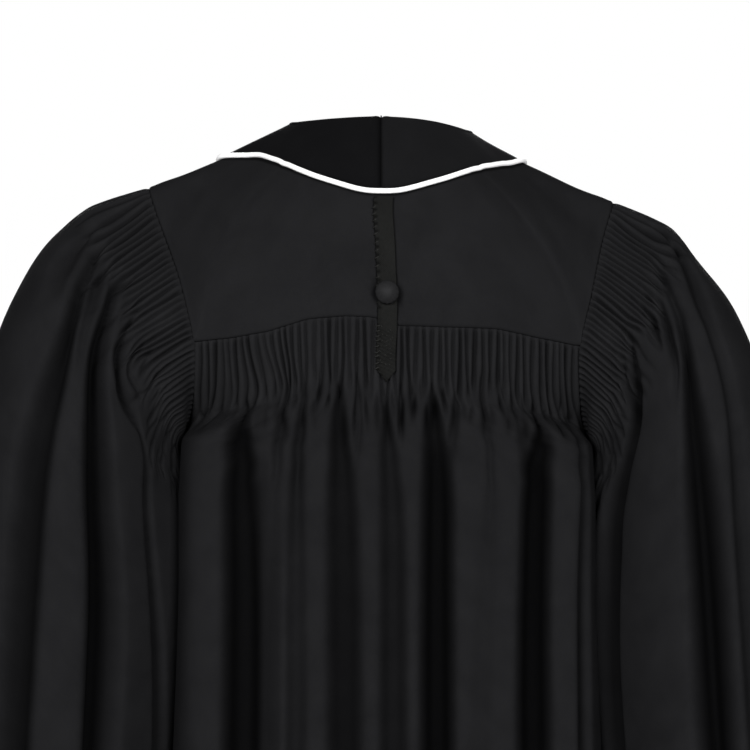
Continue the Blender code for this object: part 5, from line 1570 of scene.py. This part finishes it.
def make_floor():
    """A plain pale floor under the robe: rings of points round its middle."""
    sides = 96
    turn = np.linspace(0, 2 * math.pi, sides, endpoint=False)
    radius = np.array([0.001, 1.0, 2.0, 4.0, 8.0, 16.0, 40.0])[:, None]
    x, y, z = np.broadcast_arrays(radius * np.cos(turn), radius * np.sin(turn), FLOOR_Z)
    grid = np.stack([x, y, z], axis=-1)
    r, c = (n.ravel() for n in np.indices((len(radius) - 1, sides)))
    low, high, after = r * sides, (r + 1) * sides, (c + 1) % sides
    quads = np.stack([low + c, high + c, high + after, low + after], -1)
    mesh = bpy.data.meshes.new("studio_floor")
    mesh.from_pydata(grid.reshape(-1, 3).tolist(), [], quads.tolist())
    floor = bpy.data.objects.new("studio_floor", mesh)
    material = bpy.data.materials.new("studio_floor")
    material.use_nodes = True
    tree = material.node_tree
    surface = tree.nodes["Principled BSDF"]
    surface.inputs["Roughness"].default_value = 0.9
    surface.inputs["Emission Strength"].default_value = 0.62
    ray, plain = tree.nodes.new("ShaderNodeLightPath"), tree.nodes.new("ShaderNodeMix")
    plain.data_type = "RGBA"
    plain.inputs["A"].default_value = (0.2, 0.2, 0.2, 1.0)
    plain.inputs["B"].default_value = (0.86, 0.86, 0.86, 1.0)
    tree.links.new(ray.outputs["Is Camera Ray"], plain.inputs["Factor"])
    tree.links.new(plain.outputs["Result"], surface.inputs["Base Color"])
    tree.links.new(ray.outputs["Is Camera Ray"], surface.inputs["Emission Color"])
    mesh.materials.append(material)
    bpy.context.scene.collection.objects.link(floor)


def make_light(name, at, target, power):
    """A square soft box that looks at its target."""
    data = bpy.data.lights.new(name, "AREA")
    data.shape, data.size, data.energy = "SQUARE", LIGHT_SIZE, power
    light = bpy.data.objects.new(name, data)
    light.location = at
    light.rotation_mode = "QUATERNION"
    light.rotation_quaternion = (Vector(target) - Vector(at)).to_track_quat("-Z", "Y")
    bpy.context.scene.collection.objects.link(light)


def make_world(seen, given):
    """A white backdrop for the camera that gives the robe only a low, even light."""
    world = bpy.data.worlds.new("studio")
    world.use_nodes = True
    tree = world.node_tree
    tree.nodes.clear()
    ray = tree.nodes.new("ShaderNodeLightPath")
    mix, out = tree.nodes.new("ShaderNodeMixShader"), tree.nodes.new("ShaderNodeOutputWorld")
    tree.links.new(ray.outputs["Is Camera Ray"], mix.inputs[0])
    for socket, strength in zip(mix.inputs[1:], (given, seen)):
        backdrop = tree.nodes.new("ShaderNodeBackground")
        backdrop.inputs["Strength"].default_value = strength
        backdrop.inputs["Color"].default_value = (1.0, 1.0, 1.0, 1.0)
        tree.links.new(backdrop.outputs[0], socket)
    tree.links.new(mix.outputs[0], out.inputs[0])
    bpy.context.scene.world = world


def make_camera():
    """The photograph's view: level, at the middle of the upper back."""
    data = bpy.data.cameras.new("camera")
    data.lens, data.sensor_width = LENS, SENSOR
    data.clip_start, data.clip_end = 0.05, 200.0
    camera = bpy.data.objects.new("camera", data)
    camera.location = CAMERA_AT
    camera.rotation_euler = (math.radians(90), 0.0, math.radians(180))
    bpy.context.scene.collection.objects.link(camera)
    bpy.context.scene.camera = camera


make_yoke()
make_back()
for side in (1.0, -1.0):
    make_front(side)
    make_sleeve(side)
    make_collar(side)
make_piping()
make_strap()
sew_strap()
make_button()
make_placket()
make_stitches()

make_floor()
make_world(1.0, 0.10)
for light in LIGHTS:
    make_light(*light)
make_camera()
bpy.context.scene.view_settings.view_transform = "Standard"
